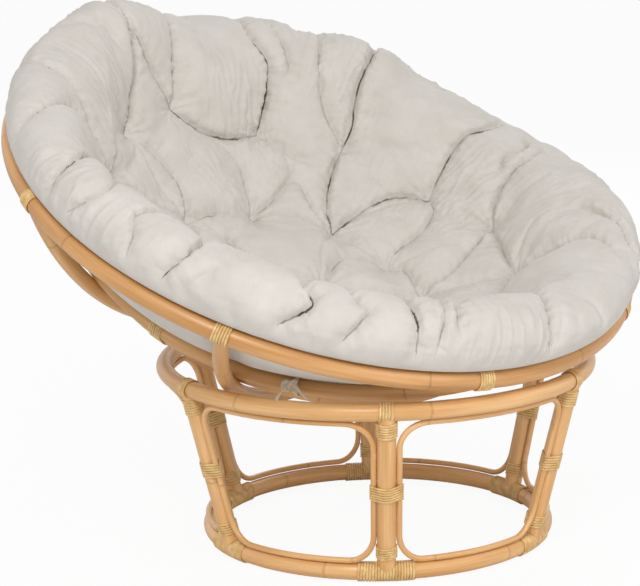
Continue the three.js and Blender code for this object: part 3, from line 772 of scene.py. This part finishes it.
# %% The outline and its length
SEAT_LINE = [(0, -142), (38, -142), (75, -142), (150, -138), (215, -122), (285, -92), (345, -52),
             (392, -2), (428, 43), (466, 74), (500, 82), (538, 73), (555, 52), (553, 34), (545, 19),
             (535, 18), (523, 15)]
UNDER_LINE = [(514, 1), (504, -13), (490, -28), (455, -58), (410, -100), (347, -148), (284, -172),
              (196, -188), (91, -197), (45, -198), (0, -198)]


def smooth_line(points, spacing):
    """The points joined by a smooth line and set out again at an even spacing."""
    p = np.array(points, dtype=float)
    dense = []
    for i in range(len(p) - 1):
        a, b, c, d = p[max(i - 1, 0)], p[i], p[i + 1], p[min(i + 2, len(p) - 1)]
        for t in np.arange(0, 1, 0.05):
            dense.append(0.5 * (2 * b + (c - a) * t + (2 * a - 5 * b + 4 * c - d) * t ** 2
                                + (3 * b - a - 3 * c + d) * t ** 3))
    dense = np.array(dense + [p[-1]])
    run = np.concatenate([[0], np.cumsum(np.linalg.norm(np.diff(dense, axis=0), axis=1))])
    even = np.linspace(0, run[-1], int(run[-1] / spacing) + 1)
    return np.stack([np.interp(even, run, dense[:, k]) for k in (0, 1)], axis=1), even


outline, outline_run = smooth_line(SEAT_LINE + UNDER_LINE, 9)
outline[:, 0] = np.maximum(outline[:, 0], 0)
crest_row = int(np.argmax(outline[:, 1]))
edge_row = int(np.argmax(outline[:, 0]))
rim_row = int(np.argmin(np.abs(outline[edge_row:, 1] - 20))) + edge_row
EDGE_RUN, RIM_RUN = outline_run[edge_row], outline_run[rim_row]
SEAM_RUN = EDGE_RUN - 6
print("outline mm:", round(outline_run[-1]), "edge at", round(EDGE_RUN), "rim at", round(RIM_RUN))

# %% [markdown]
# ## Where the cushion is tufted and creased
# Tufts and creases are listed as pairs of a distance from the axis in millimetres and an azimuth
# in degrees, measured on the bowl. Those inside the front of the bowl are hidden in the
# photograph and follow the pattern of the others. A crease is of one of four kinds. A kind lists
# the depth and width of the hollow in the padding, the depth and width of the fold in the cloth,
# all in millimetres, and how dark the painted shade of its line is.

# %% Tufts and creases
TUFTS = [(361, 162), (367, 140), (325, 112), (332, 84), (316, 50), (347, 26), (352, 0), (345, -28),
         (345, -58), (350, -88), (348, -118), (352, -148), (350, -174), (208, 174), (156, 129),
         (156, 72), (164, 25), (210, -5), (60, -42), (175, -48), (190, -95), (185, -140)]
SPLIT, DEEP = (15, 15, 12, 5.6, 1.9), (12, 15, 10, 4.8, 1.1)
PLAIN, FAINT = (8, 13, 8, 4, 0.42), (2, 10, 3.5, 3.5, 0.1)
CREASES = [
    (DEEP, [(545, 147), (499, 147), (457, 148), (415, 150), (386, 156), (361, 162)]),
    (PLAIN, [(361, 162), (327, 163), (288, 167), (208, 174)]),
    (PLAIN, [(500, 149), (460, 148), (437, 146), (405, 143), (367, 140)]),
    (DEEP, [(545, 132), (492, 133), (431, 136), (400, 137), (367, 140)]),
    (DEEP, [(367, 140), (332, 133), (314, 124), (325, 112)]),
    (PLAIN, [(329, 134), (304, 127), (261, 122), (184, 126), (156, 129)]),
    (SPLIT, [(325, 112), (370, 109), (417, 108), (458, 113), (535, 114)]),
    (PLAIN, [(325, 112), (305, 105), (288, 101), (289, 96)]),
    (DEEP, [(406, 103), (440, 104), (470, 106), (530, 109)]),
    (PLAIN, [(556, -158), (534, -160), (503, -164), (463, -169), (433, -174)]),
    (DEEP, [(556, -142), (535, -143), (507, -144), (439, -151), (364, -168)]),
    (PLAIN, [(556, -136), (548, -134), (523, -133), (502, -133), (430, -140)]),
    (PLAIN, [(556, -122), (538, -123), (524, -125), (489, -125), (420, -122)]),
    (SPLIT, [(556, -115), (527, -113), (478, -112), (420, -114)]),
    (FAINT, [(556, -111), (546, -109), (523, -107)]),
    (SPLIT, [(430, -93), (492, -94), (516, -91), (537, -91), (556, -95)]),
    (PLAIN, [(340, 159), (327, 157), (292, 156), (248, 157), (208, 174)]),
    (PLAIN, [(208, 174), (186, 158), (166, 145), (156, 129)]),
    (PLAIN, [(156, 129), (189, 112), (261, 99)]),
    (PLAIN, [(156, 129), (157, 114), (156, 99), (156, 72)]),
    (PLAIN, [(190, 168), (148, 168), (109, -162), (60, -42)]),
    (FAINT, [(156, 72), (216, 95), (300, 105)]),
    (SPLIT, [(545, 84), (469, 84), (429, 85), (396, 85), (365, 83), (332, 84)]),
    (PLAIN, [(535, 97), (466, 96), (416, 96), (369, 92), (332, 84)]),
    (DEEP, [(332, 84), (264, 85), (195, 81), (156, 72)]),
    (PLAIN, [(248, 97), (181, 87), (156, 72)]),
    (DEEP, [(156, 72), (231, 67), (287, 62), (316, 50)]),
    (PLAIN, [(233, 64), (282, 56), (316, 50)]),
    (DEEP, [(316, 50), (350, 53), (399, 55), (432, 53), (458, 52), (530, 52)]),
    (PLAIN, [(316, 50), (302, 43), (244, 38), (200, 36), (164, 25)]),
    (PLAIN, [(347, 26), (371, 33), (402, 36), (444, 37), (500, 38)]),
    (DEEP, [(401, 40), (423, 42), (441, 40), (520, 44)]),
    (PLAIN, [(347, 26), (301, 19), (249, 6), (210, -5)]),
    (PLAIN, [(164, 25), (193, 18), (210, -5)]),
    (FAINT, [(156, 72), (137, 60), (164, 25)]),
    (PLAIN, [(60, -42), (75, 38), (131, 39), (164, 25)]),
    (FAINT, [(60, -42), (50, 60), (156, 72)]),
    (PLAIN, [(60, -42), (120, -20), (210, -5)]),
    (SPLIT, [(420, -76), (480, -74), (530, -73), (556, -73)]),
    (DEEP, [(455, -86), (480, -85), (520, -83)]),
    (DEEP, [(556, -85), (544, -83), (513, -81)]),
    (DEEP, [(440, -62), (512, -66), (540, -66)]),
    (PLAIN, [(450, -66), (507, -68), (541, -69), (556, -70)]),
    (SPLIT, [(410, -40), (473, -43), (531, -47), (556, -47)]),
    (FAINT, [(499, -42), (543, -45), (556, -46)]),
    (PLAIN, [(405, -2), (447, -3), (490, -9), (516, -13), (556, -16)]),
    (PLAIN, [(447, 11), (481, 6), (511, 2), (526, -5), (556, -6)]),
    (FAINT, [(399, 13), (360, 6), (327, -1)]),
    (FAINT, [(438, 26), (402, 27), (367, 26)]),
    (PLAIN, [(350, -174), (420, -178), (500, 178), (550, 176)]),
    (FAINT, [(500, 20), (545, 18)]), (FAINT, [(500, 66), (540, 68)]), (FAINT, [(510, 158), (550, 162)]),
]
HIDDEN_LINKS = [(5, 6), (6, 7), (7, 8), (8, 9), (9, 10), (10, 11), (11, 12), (12, 13), (6, 17), (7, 19),
                (8, 19), (9, 20), (10, 20), (10, 21), (11, 21), (13, 21), (18, 19), (18, 20), (18, 21)]
for first, second in HIDDEN_LINKS:
    CREASES.append((PLAIN, [TUFTS[first], TUFTS[second]]))
for tuft, ends in zip(TUFTS[6:13], [-4, -33, -54, -90, -121, -141, -172]):
    CREASES.append((PLAIN, [tuft, (430, (tuft[1] + ends) / 2)]))
print(len(TUFTS), "tufts and", len(CREASES), "creases")

# %% [markdown]
# ## Shaping the cushion
# The cloth is thought of as a flat round sheet: a point is placed on it by its distance from the
# middle along the outline and by its azimuth. Distances to tufts and creases are measured there.
# The roll also isn't even: on the tall side it stands higher, and on the right at the back it
# sags, so its height and reach follow two short tables by azimuth.

# %% Measures on the sheet of cloth
FAR = 1e9
seat_rows = slice(0, edge_row + 1)


def ramp(value, start, length):
    """0 up to the start, 1 from one length further on, and even between them."""
    return np.clip((value - start) / length, 0, 1)


def run_of(radius):
    """The run along the outline, from the seat's middle, at a distance from the axis."""
    return np.interp(radius, outline[seat_rows, 0], outline_run[seat_rows])


def on_sheet(run, degrees):
    angle = np.radians(degrees)
    return np.stack([run * np.cos(angle), run * np.sin(angle)], axis=-1)


def to_segments(points, ends):
    """Each point's least distance to a line of segments, its side of it, and its way along it."""
    best, before = np.full(len(points), FAR), 0
    side, along = np.ones(len(points)), np.zeros(len(points))
    for a, b in zip(ends[:-1], ends[1:]):
        ab = b - a
        length = max(np.linalg.norm(ab), 1e-6)
        t = np.clip(((points - a) @ ab) / length ** 2, 0, 1)
        offset = points - a - t[:, None] * ab
        miss = np.linalg.norm(offset, axis=1)
        is_nearer = miss < best
        along = np.where(is_nearer, before + t * length, along)
        side = np.where(is_nearer, np.sign(ab[0] * offset[:, 1] - ab[1] * offset[:, 0]), side)
        best = np.minimum(best, miss)
        before += length
    return best, side, along


def rounded_path(path, times):
    """A crease's places on the sheet, with its corners eased."""
    places = np.array([on_sheet(run_of(r), a) for r, a in path])
    for _ in range(times):
        eased = [places[0]]
        for a, b in zip(places[:-1], places[1:]):
            eased += [0.75 * a + 0.25 * b, 0.25 * a + 0.75 * b]
        places = np.array(eased + [places[-1]])
    return places


def stitches_near(points, places, reach):
    """What to_segments gives, worked out only for the points within reach of the line."""
    low, high = places.min(axis=0) - reach, places.max(axis=0) + reach
    close = np.all((points > low) & (points < high), axis=1)
    near, side, along = np.full(len(points), FAR), np.ones(len(points)), np.zeros(len(points))
    near[close], side[close], along[close] = to_segments(points[close], places)
    return near, side, along


TUFT_PLACES = np.array([on_sheet(run_of(radius), azimuth) for radius, azimuth in TUFTS])
print("tufts on the sheet:", len(TUFT_PLACES))

# %% How far the padding is pulled in
TUFT_DEPTH, TUFT_WIDTH = 24, 21


def broad_pull(points, share=1.0):
    """How far the stitches draw the padding in round each point of the sheet, in millimetres."""
    pull = np.zeros(len(points))
    for (depth, width, *_), path in CREASES:
        near = stitches_near(points, rounded_path(path, 1), 5 * width)[0]
        pull = np.maximum(pull, depth * np.exp(-near / (width * share)))
    for place in TUFT_PLACES:
        near = np.linalg.norm(points - place, axis=1)
        pull = np.maximum(pull, TUFT_DEPTH * np.exp(-near / (TUFT_WIDTH * share)))
    return pull


# %% How the cloth is folded and puckered
# How high the gathers beside a fold and the puckers round a tuft are, how far beside its line a
# fold still shows, where the cloth next to it bulges most, and how long an end that fades is
GATHER, PUCKER = 1.4, 2.2
FOLD_REACH, BULGE_PLACE, SOFT_END = 60, 8, 70
# An end is firm this far from the axis, or this near to a tuft
FIRM_RADIUS, FIRM_ROOM = 550, 12


def sharp_pull(points):
    """How far the cloth alone is folded in along the creases and puckered beside them, in
    millimetres. Also how far beside the nearest fold each point lies, and how strong the painted shade
    of that fold's line is."""
    pull, pucker = np.zeros(len(points)), np.zeros(len(points))
    beside, strength = np.full(len(points), 50.0), np.zeros(len(points))
    for k, ((_, _, depth, width, painted_shade), path) in enumerate(CREASES):
        places = rounded_path(path, 2)
        near, side, along = stitches_near(points, places, FOLD_REACH)
        # Gathers run off at a slant on both sides of a fold, in waves of 23 and 9.5 millimetres
        gather = (np.sin(math.tau * (along / 23 + near / 70) + k)
                  + 0.5 * np.sin(math.tau * along / 9.5 + 2 * k))
        pucker += GATHER * depth / DEEP[2] * gather * np.exp(-near / 20) * ramp(near, 0, 6)
        # A fold is firm at a tuft and under the rim's pole, and runs out softly elsewhere
        fade, line = np.ones(len(points)), np.ones(len(points))
        for end, radius in ((places[0], path[0][0]), (places[-1], path[-1][0])):
            away = np.linalg.norm(points - end, axis=1)
            from_tuft = np.linalg.norm(TUFT_PLACES - end, axis=1).min()
            is_firm = radius > FIRM_RADIUS or from_tuft < FIRM_ROOM
            fade = np.minimum(fade, np.clip(away / 45 + 0.35, 0, 1))
            if not is_firm:
                line = np.minimum(line, ramp(away, 0, SOFT_END))
        # The painted shade along a fold's line is uneven
        uneven = 0.62 + 0.38 * np.sin(along / 17 + 1.7 * k) + 0.25 * np.sin(along / 7 + 3 * k)
        line *= np.clip(uneven, 0.3, 1)
        # The cloth on one side of a fold bulges over the other
        bulge = 0.4 * depth * near / BULGE_PLACE * np.exp(1 - near / BULGE_PLACE)
        bulge *= side * (-1) ** k > 0
        bulge *= ramp(np.minimum(along, along[near < FOLD_REACH].max() - along), 0, 15)
        pull = np.maximum(pull, depth * fade * np.exp(-near / width))
        pucker -= bulge * fade * np.clip(1.5 - near / 30, 0, 1)
        # Each point keeps the nearest fold, and how strong that fold's painted shade is there
        is_nearer = near < np.abs(beside)
        beside = np.where(is_nearer, side * near, beside)
        strength = np.where(is_nearer, painted_shade * line * np.clip(1.6 - near / 5, 0, 1), strength)
    for k, place in enumerate(TUFT_PLACES):
        offset = points - place
        near = np.linalg.norm(offset, axis=1)
        around = np.arctan2(offset[:, 1], offset[:, 0])
        rays = np.sin(11 * around + k) + 0.6 * np.sin(17 * around + 2.1 * k)
        pucker += PUCKER * rays * np.exp(-near / 42) * ramp(near, 0, 14)
    return pull + pucker, beside, strength


# %% Loose wrinkles
WRINKLE = 2.6
# How many waves go round the cushion, how long one is outwards (minus for the other slant), its shift
WAVES = ((61, 310, 0.3), (83, -230, 1.9), (107, 170, 4.2), (47, -260, 2.6))


def wrinkles(run, degrees):
    """The height of the soft wrinkles that run outwards over the seat and the roll, in
    millimetres. They are where a sum of slanting waves crosses zero."""
    angle = np.radians(degrees)
    wave = sum(np.sin(n * angle + math.tau * run / length + shift) for n, length, shift in WAVES)
    patch = 0.45 + 0.5 * np.sin(5 * angle + run / 90) + 0.4 * np.sin(9 * angle - run / 60 + 2)
    patch = np.clip(patch, 0, 1)
    return WRINKLE * np.exp(-(wave / 0.55) ** 2) * patch * ramp(run, 120, 120)


# %% The uneven roll
CREST_TABLE = [(-180, 92), (-165, 97), (-150, 102), (-135, 106), (-120, 109), (-105, 108), (-90, 110),
               (-75, 112), (-60, 112), (-45, 106), (-30, 97), (-15, 90), (0, 86), (10, 82), (20, 72),
               (31, 56), (45, 40), (55, 36), (65, 42), (74, 46), (83, 72), (91, 68), (101, 58),
               (108, 74), (117, 64), (126, 62), (136, 88), (148, 121), (158, 102), (170, 92), (180, 92)]
EDGE_TABLE = [(-180, 554), (-150, 552), (-90, 554), (-30, 552), (-12, 545), (0, 546), (20, 550),
              (36, 543), (45, 530), (58, 520), (72, 525), (84, 542), (110, 546), (130, 548), (150, 562),
              (165, 558), (180, 554)]


def by_azimuth(table, degrees):
    wrapped = (np.asarray(degrees) + 180) % 360 - 180
    keys, values = zip(*table)
    return np.interp(wrapped, keys, values)


print("roll given at", len(CREST_TABLE), "and", len(EDGE_TABLE), "azimuths")

# %% [markdown]
# The plain shape is spun from its outline as by hand: the outline is drawn as a chain of edges,
# spun once round the axis and closed. Then each point is moved: the crest and the edge follow
# their tables, the stitches pull the cloth in, and the filling lifts it between them.

# %% Spin the cushion
SPIN_STEPS = 240
mesh = bpy.data.meshes.new("cushion")
mesh.from_pydata([(r * MM, 0, h * MM) for r, h in outline],
                 [(i, i + 1) for i in range(len(outline) - 1)], [])
take_up(put_in_scene("cushion_body", mesh))
bpy.ops.object.mode_set(mode="EDIT")
bpy.ops.mesh.select_all(action="SELECT")
bpy.ops.mesh.spin(steps=SPIN_STEPS, angle=math.tau, center=(0, 0, 0), axis=(0, 0, 1))
shape = finish_shape("cushion_body")
print("cushion spun:", len(shape.data.vertices), "points")

# %% Find a point on the sheet
def roll_shares(radius, height):
    """How much of the crest's lift and of the edge's reach a point of the roll takes."""
    lift = ramp(height, 25, 57) * ramp(radius, 380, 60)
    reach = ramp(radius, 470, 86) * ramp(height, 10, 25)
    return lift, reach


def unevenness(degrees):
    """How much higher the crest and how much further out the edge is there than in the outline."""
    crest = by_azimuth(CREST_TABLE, degrees) - outline[crest_row, 1]
    return crest, by_azimuth(EDGE_TABLE, degrees) - outline[edge_row, 0]


def evened(radius, height, degrees):
    """Takes the roll's unevenness out again, so that a point can be found on the outline."""
    crest, edge = unevenness(degrees)
    plain_radius, plain_height = radius, height
    for _ in range(4):
        lift, reach = roll_shares(plain_radius, plain_height)
        plain_radius, plain_height = radius - reach * edge, height - lift * crest
    return plain_radius, plain_height


def sheet_place(points, normals, is_even=False):
    """The run along the outline and the azimuth of points in the rim's frame."""
    radius = np.hypot(points[:, 0], points[:, 1]) / MM
    height = points[:, 2] / MM
    degrees = np.degrees(np.arctan2(points[:, 1], points[:, 0]))
    if not is_even:
        radius, height = evened(radius, height, degrees)
    place = np.stack([radius, height], axis=1)
    upper = np.arange(len(outline)) <= edge_row
    wrong_side = (radius < 440)[:, None] & ((normals[:, 2] > 0)[:, None] != upper[None, :])
    gap = (radius[:, None] - outline[None, :, 0]) ** 2 + (height[:, None] - outline[None, :, 1]) ** 2
    near = (gap + FAR * wrong_side).argmin(axis=1)
    best, run = np.full(len(points), FAR), np.zeros(len(points))
    for step in (-1, 0):
        first = np.clip(near + step, 0, len(outline) - 2)
        along = outline[first + 1] - outline[first]
        share = np.sum((place - outline[first]) * along, axis=1) / np.sum(along ** 2, axis=1)
        share = np.clip(share, 0, 1)
        miss = np.linalg.norm(place - outline[first] - share[:, None] * along, axis=1)
        here = outline_run[first] + share * (outline_run[first + 1] - outline_run[first])
        run = np.where(miss < best, here, run)
        best = np.minimum(best, miss)
    return run, degrees


# %% Shape the cushion
BASE_PUFF, UNDER_SAG = 2.0, 16.0
SAG_START, SAG_END = 35, 280

points = read_points(shape)
run, degrees = sheet_place(points, read_points(shape, "normal"), is_even=True)
radius = np.hypot(points[:, 0], points[:, 1]) / MM
lift, reach = roll_shares(radius, points[:, 2] / MM)
crest, edge = unevenness(degrees)
points[:, 2] += lift * crest * MM
points[:, :2] *= (1 + reach * edge / np.maximum(radius, 1))[:, None]
write_points(shape, points)

push = ramp(RIM_RUN - run, 0, 40) * (BASE_PUFF - broad_pull(on_sheet(run, degrees)))
write_points(shape, points + read_points(shape, "normal") * (push * MM)[:, None])

# Underneath, the cloth hangs a little between the poles that carry it
points = read_points(shape)
poles = np.array([tuple(p) for line in POLE_LINES for p in line])
poles[:, 2] += PIVOT_ABOVE_RIM
below = np.nonzero((run > RIM_RUN + SAG_START) & (run < RIM_RUN + SAG_END))[0]
room = np.linalg.norm(points[below, None] - poles[None], axis=2).min(axis=1) / MM
sag = UNDER_SAG * ramp(room, 19, 30) * ramp(run[below] - RIM_RUN, SAG_START, 30)
points[below] += read_points(shape, "normal")[below] * (sag * MM)[:, None]
write_points(shape, points)
print("cushion shaped:", len(points), "points, push", round(push.min(), 1), "to", round(push.max(), 1))

# %% [markdown]
# ## Filling the cushion
# Real cloth wrinkles because it is a little larger than the filling wants. So the shape is
# remeshed to even squares and blown up by a cloth simulation in which the tufts and the deepest
# creases are pinned. No point may move further than a cap. The result is applied to the mesh.

# %% Simulate the cloth
VOXEL = 6.5 * MM
MOVE_CAP = 20 * MM
SIM_FRAMES = 16
CLOTH = {
    "quality": 5, "mass": 0.25, "tension_stiffness": 12, "compression_stiffness": 12,
    "shear_stiffness": 6, "bending_stiffness": 1.5, "use_pressure": True,
    "uniform_pressure_force": 4, "shrink_min": -0.03, "vertex_group_mass": "held",
    "pin_stiffness": 1,
}


def simulate_cloth(piece):
    apply_modifier(piece, "REMESH", mode="VOXEL", voxel_size=VOXEL)
    before = read_points(piece)
    run, degrees = sheet_place(before, read_points(piece, "normal"))
    sheet = on_sheet(run, degrees)
    held = ramp(broad_pull(sheet, 0.6), 0, 15) ** 1.5
    held = np.where(run < RIM_RUN - 10, held, 1.0)
    group = piece.vertex_groups.new(name="held")
    for index in np.nonzero(held > 0.04)[0]:
        group.add([int(index)], float(held[index]), "REPLACE")
    cloth = piece.modifiers.new("cloth", "CLOTH")
    set_all(cloth.settings, CLOTH)
    cloth.settings.effector_weights.gravity = 0
    cloth.collision_settings.use_collision = False
    cloth.point_cache.frame_start, cloth.point_cache.frame_end = 1, SIM_FRAMES
    for number in range(1, SIM_FRAMES + 1):
        bpy.context.scene.frame_set(number)
    bpy.ops.object.modifier_apply(modifier="cloth")
    bpy.context.scene.frame_set(1)
    moved = read_points(piece) - before
    size = np.linalg.norm(moved, axis=1)
    moved *= (np.minimum(size, MOVE_CAP) / np.maximum(size, 1e-9))[:, None]
    write_points(piece, before + moved)
    piece.vertex_groups.clear()
    print("cloth moved by up to", round(float(size.max()) / MM, 1), "mm")


simulate_cloth(shape)

# %% [markdown]
# ## Sharp creases and the cloth's own map
# One level of subdivision smooths the squares away. The creases are then drawn in once more,
# now narrow, since the squares were too wide to hold a sharp fold, with gathers, puckers and loose
# wrinkles. A faint groove marks the seam where the upper cloth is sewn to the lower. The map called
# cloth comes from the same sheet, and two attributes tell the finish where the folds lie and how
# much painted shade darkens their lines.

# %% Finish the cushion
SEAM_DEPTH, SEAM_WIDTH = 0.5, 2.6

apply_modifier(shape, "SMOOTH", factor=0.5, iterations=5)
apply_modifier(shape, "SUBSURF", levels=1, render_levels=1)
points = read_points(shape)
normals = read_points(shape, "normal")
run, degrees = sheet_place(points, normals)
sheet = on_sheet(run, degrees)
fine, beside, strength = sharp_pull(sheet)
fine = (fine - wrinkles(run, degrees)) * ramp(RIM_RUN - run, 0, 25)
seam = SEAM_DEPTH * np.exp(-((run - SEAM_RUN) / SEAM_WIDTH) ** 2)
write_points(shape, points - normals * ((fine + seam) * MM)[:, None])

layer = shape.data.uv_layers.new(name="cloth")
corner = np.empty(len(shape.data.loops), dtype=np.int32)
shape.data.loops.foreach_get("vertex_index", corner)
layer.data.foreach_set("uv", (sheet[corner] * MM).astype(np.float32).ravel())
# The fold attributes say where the painted shade of the folds lies and how strong it is
for name, values in (("beside_fold", beside), ("fold_shade_strength", strength * (run < RIM_RUN))):
    stored = shape.data.attributes.new(name, "FLOAT", "POINT")
    stored.data.foreach_set("value", values.astype(np.float32))
shape.data.polygons.foreach_set("use_smooth", [True] * len(shape.data.polygons))
shape.data.transform(RIM_FRAME)
hand_over(shape, "seat_cushion", CANVAS, "canvas", "cushion")
print("cushion:", len(shape.data.polygons), "faces")

# %% [markdown]
# ## The cushion's tie
# A cotton tape from the cushion goes round the wide rib and is knotted there. The knot is a short
# thick tape in an overhand loop, so a trefoil curve with a round bevel gives it, and the two
# tails are flat strips that hang and twist a little.

# %% Tie the knot
TIE_SHARE = 0.735
TAPE_THICKNESS = 1.6 * MM
KNOT_SIZE, KNOT_THICKNESS, KNOT_STEPS = 3.3 * MM, 11 * MM, 60
TAIL_STEPS, BAND_STEPS = 16, 40
pole_place = on_arc(side_arcs[0], TIE_SHARE)
outwards = pole_place.normalized()
along = (on_arc(side_arcs[0], 1.0) - pole_place).normalized()
across = along.cross(outwards)
down, front = (BOWL.to_3x3().inverted() @ Vector(way) for way in ((0, 0, -1), (0, -1, 0)))
knot_place = pole_place + (outwards - down).normalized() * (RIB_POLE + 11.5 * MM)
KNOT = Matrix.Translation(knot_place) @ turned(across, along, outwards)

loop_points = []
for i in range(KNOT_STEPS):
    t = i * math.tau / KNOT_STEPS
    loop_points.append(Vector((math.sin(t) + 2 * math.sin(2 * t), math.cos(t) - 2 * math.cos(2 * t),
                               -1.2 * math.sin(3 * t))) * KNOT_SIZE)
knot = curve_piece("tie_knot", loop_points, KNOT_THICKNESS, BOWL @ KNOT, cyclic=True)
tails = []
for name, side, length, drop in (("tie_tail_a", -1, 26, 18), ("tie_tail_b", 1, 28, 12)):
    path = []
    for i in range(TAIL_STEPS + 1):
        t = i / TAIL_STEPS
        path.append(knot_place + (down * drop * t ** 2 + along * side * length * t ** 0.8
                                  + front * (6 + 40 * t + 3 * math.sin(4 * t) * t)) * MM)
    tilts = [0.9 * side * i / TAIL_STEPS for i in range(TAIL_STEPS + 1)]
    tails.append(curve_piece(name, path, TAPE_THICKNESS, BOWL, flat=5.5 * MM, tilts=tilts))
band_points = []
for i in range(BAND_STEPS):
    t = i * math.tau / BAND_STEPS
    around = outwards * math.cos(t) + across * math.sin(t)
    band_points.append(pole_place + around * (RIB_POLE + 1 * MM))
band = curve_piece("tie_band", band_points, TAPE_THICKNESS, BOWL, cyclic=True, flat=5 * MM,
                   tilts=[math.pi / 2] * BAND_STEPS)

for piece in [knot, band] + tails:
    # A map for a small strip, from its axes, in metres
    layer = piece.data.uv_layers.new(name="cloth")
    for loop in piece.data.loops:
        co = piece.data.vertices[loop.vertex_index].co
        layer.data[loop.index].uv = (co.x + 0.3 * co.z, co.z - 0.3 * co.y)
hand_over(knot, "bowl_frame", TAPE, "canvas", "cushion_tie")
for piece in [band] + tails:
    hand_over(piece, "bowl_frame", TAPE, "canvas")
print("tie made of", 2 + len(tails), "pieces")

# %% [markdown]
# ## Floor, backdrop and light
# The chair stands in a white studio. The floor is a wide plane. Nearly all that the camera sees of
# it is white by itself and the rest is lit, so it stays white and still keeps a faint shadow of the
# chair. The world is white to the camera and dimmer as a light. One large lamp at the front,
# a weaker one at the front right and one behind give the soft shade inside the bowl.

# %% Set the stage
OWN_WHITE = 0.93
WORLD_LIGHT = 0.56
LAMP_AIM = Vector((0, 0, 0.4))

start_afresh()
bpy.ops.mesh.primitive_plane_add(size=60, location=(0, 0, 0))
floor = bpy.context.object
floor.name = "floor"
floor_paint, tree = new_finish("white_studio_floor")
seen = add(tree, "LightPath").outputs["Is Camera Ray"]
lit = add(tree, "BsdfDiffuse", {"Color": linear("#f4f4f4")})
bright = add(tree, "Emission", {"Color": (1, 1, 1, 1), "Strength": 1.0})
mostly = add(tree, "Math", {0: seen, 1: OWN_WHITE}, operation="MULTIPLY")
both = add(tree, "MixShader", {0: mostly, 1: lit, 2: bright})
add(tree, "OutputMaterial", {"Surface": both})
floor.data.materials.append(floor_paint)

world = bpy.data.worlds.new("studio")
bpy.context.scene.world = world
world.use_nodes = True
tree = world.node_tree
tree.nodes.clear()
rays = add(tree, "LightPath").outputs
glossy, clear, seen = (rays[f"Is {kind} Ray"] for kind in ("Glossy", "Transmission", "Camera"))
mirror = add(tree, "Math", {0: glossy, 1: clear}, operation="MAXIMUM")
shown = add(tree, "Math", {0: seen, 1: mirror}, operation="MAXIMUM")
strength = add(tree, "MapRange", {"Value": shown, "To Min": WORLD_LIGHT, "To Max": 1.0})
sky = add(tree, "Background", {"Color": (1, 1, 1, 1), "Strength": strength})
add(tree, "OutputWorld", {"Surface": sky})

for name, place, size, power in (
        ("key", (-0.5, -3.4, 3.0), 1.5, 67), ("fill", (2.4, -2.4, 2.0), 2.0, 26),
        ("back", (0.6, 3.4, 2.4), 2.0, 30)):
    data = bpy.data.lights.new(name, "AREA")
    data.shape, data.size, data.energy = "DISK", size, power
    lamp = put_in_scene(name, data)
    lamp.location = place
    lamp.rotation_euler = (LAMP_AIM - Vector(place)).to_track_quat("-Z", "Y").to_euler()
print("stage set")
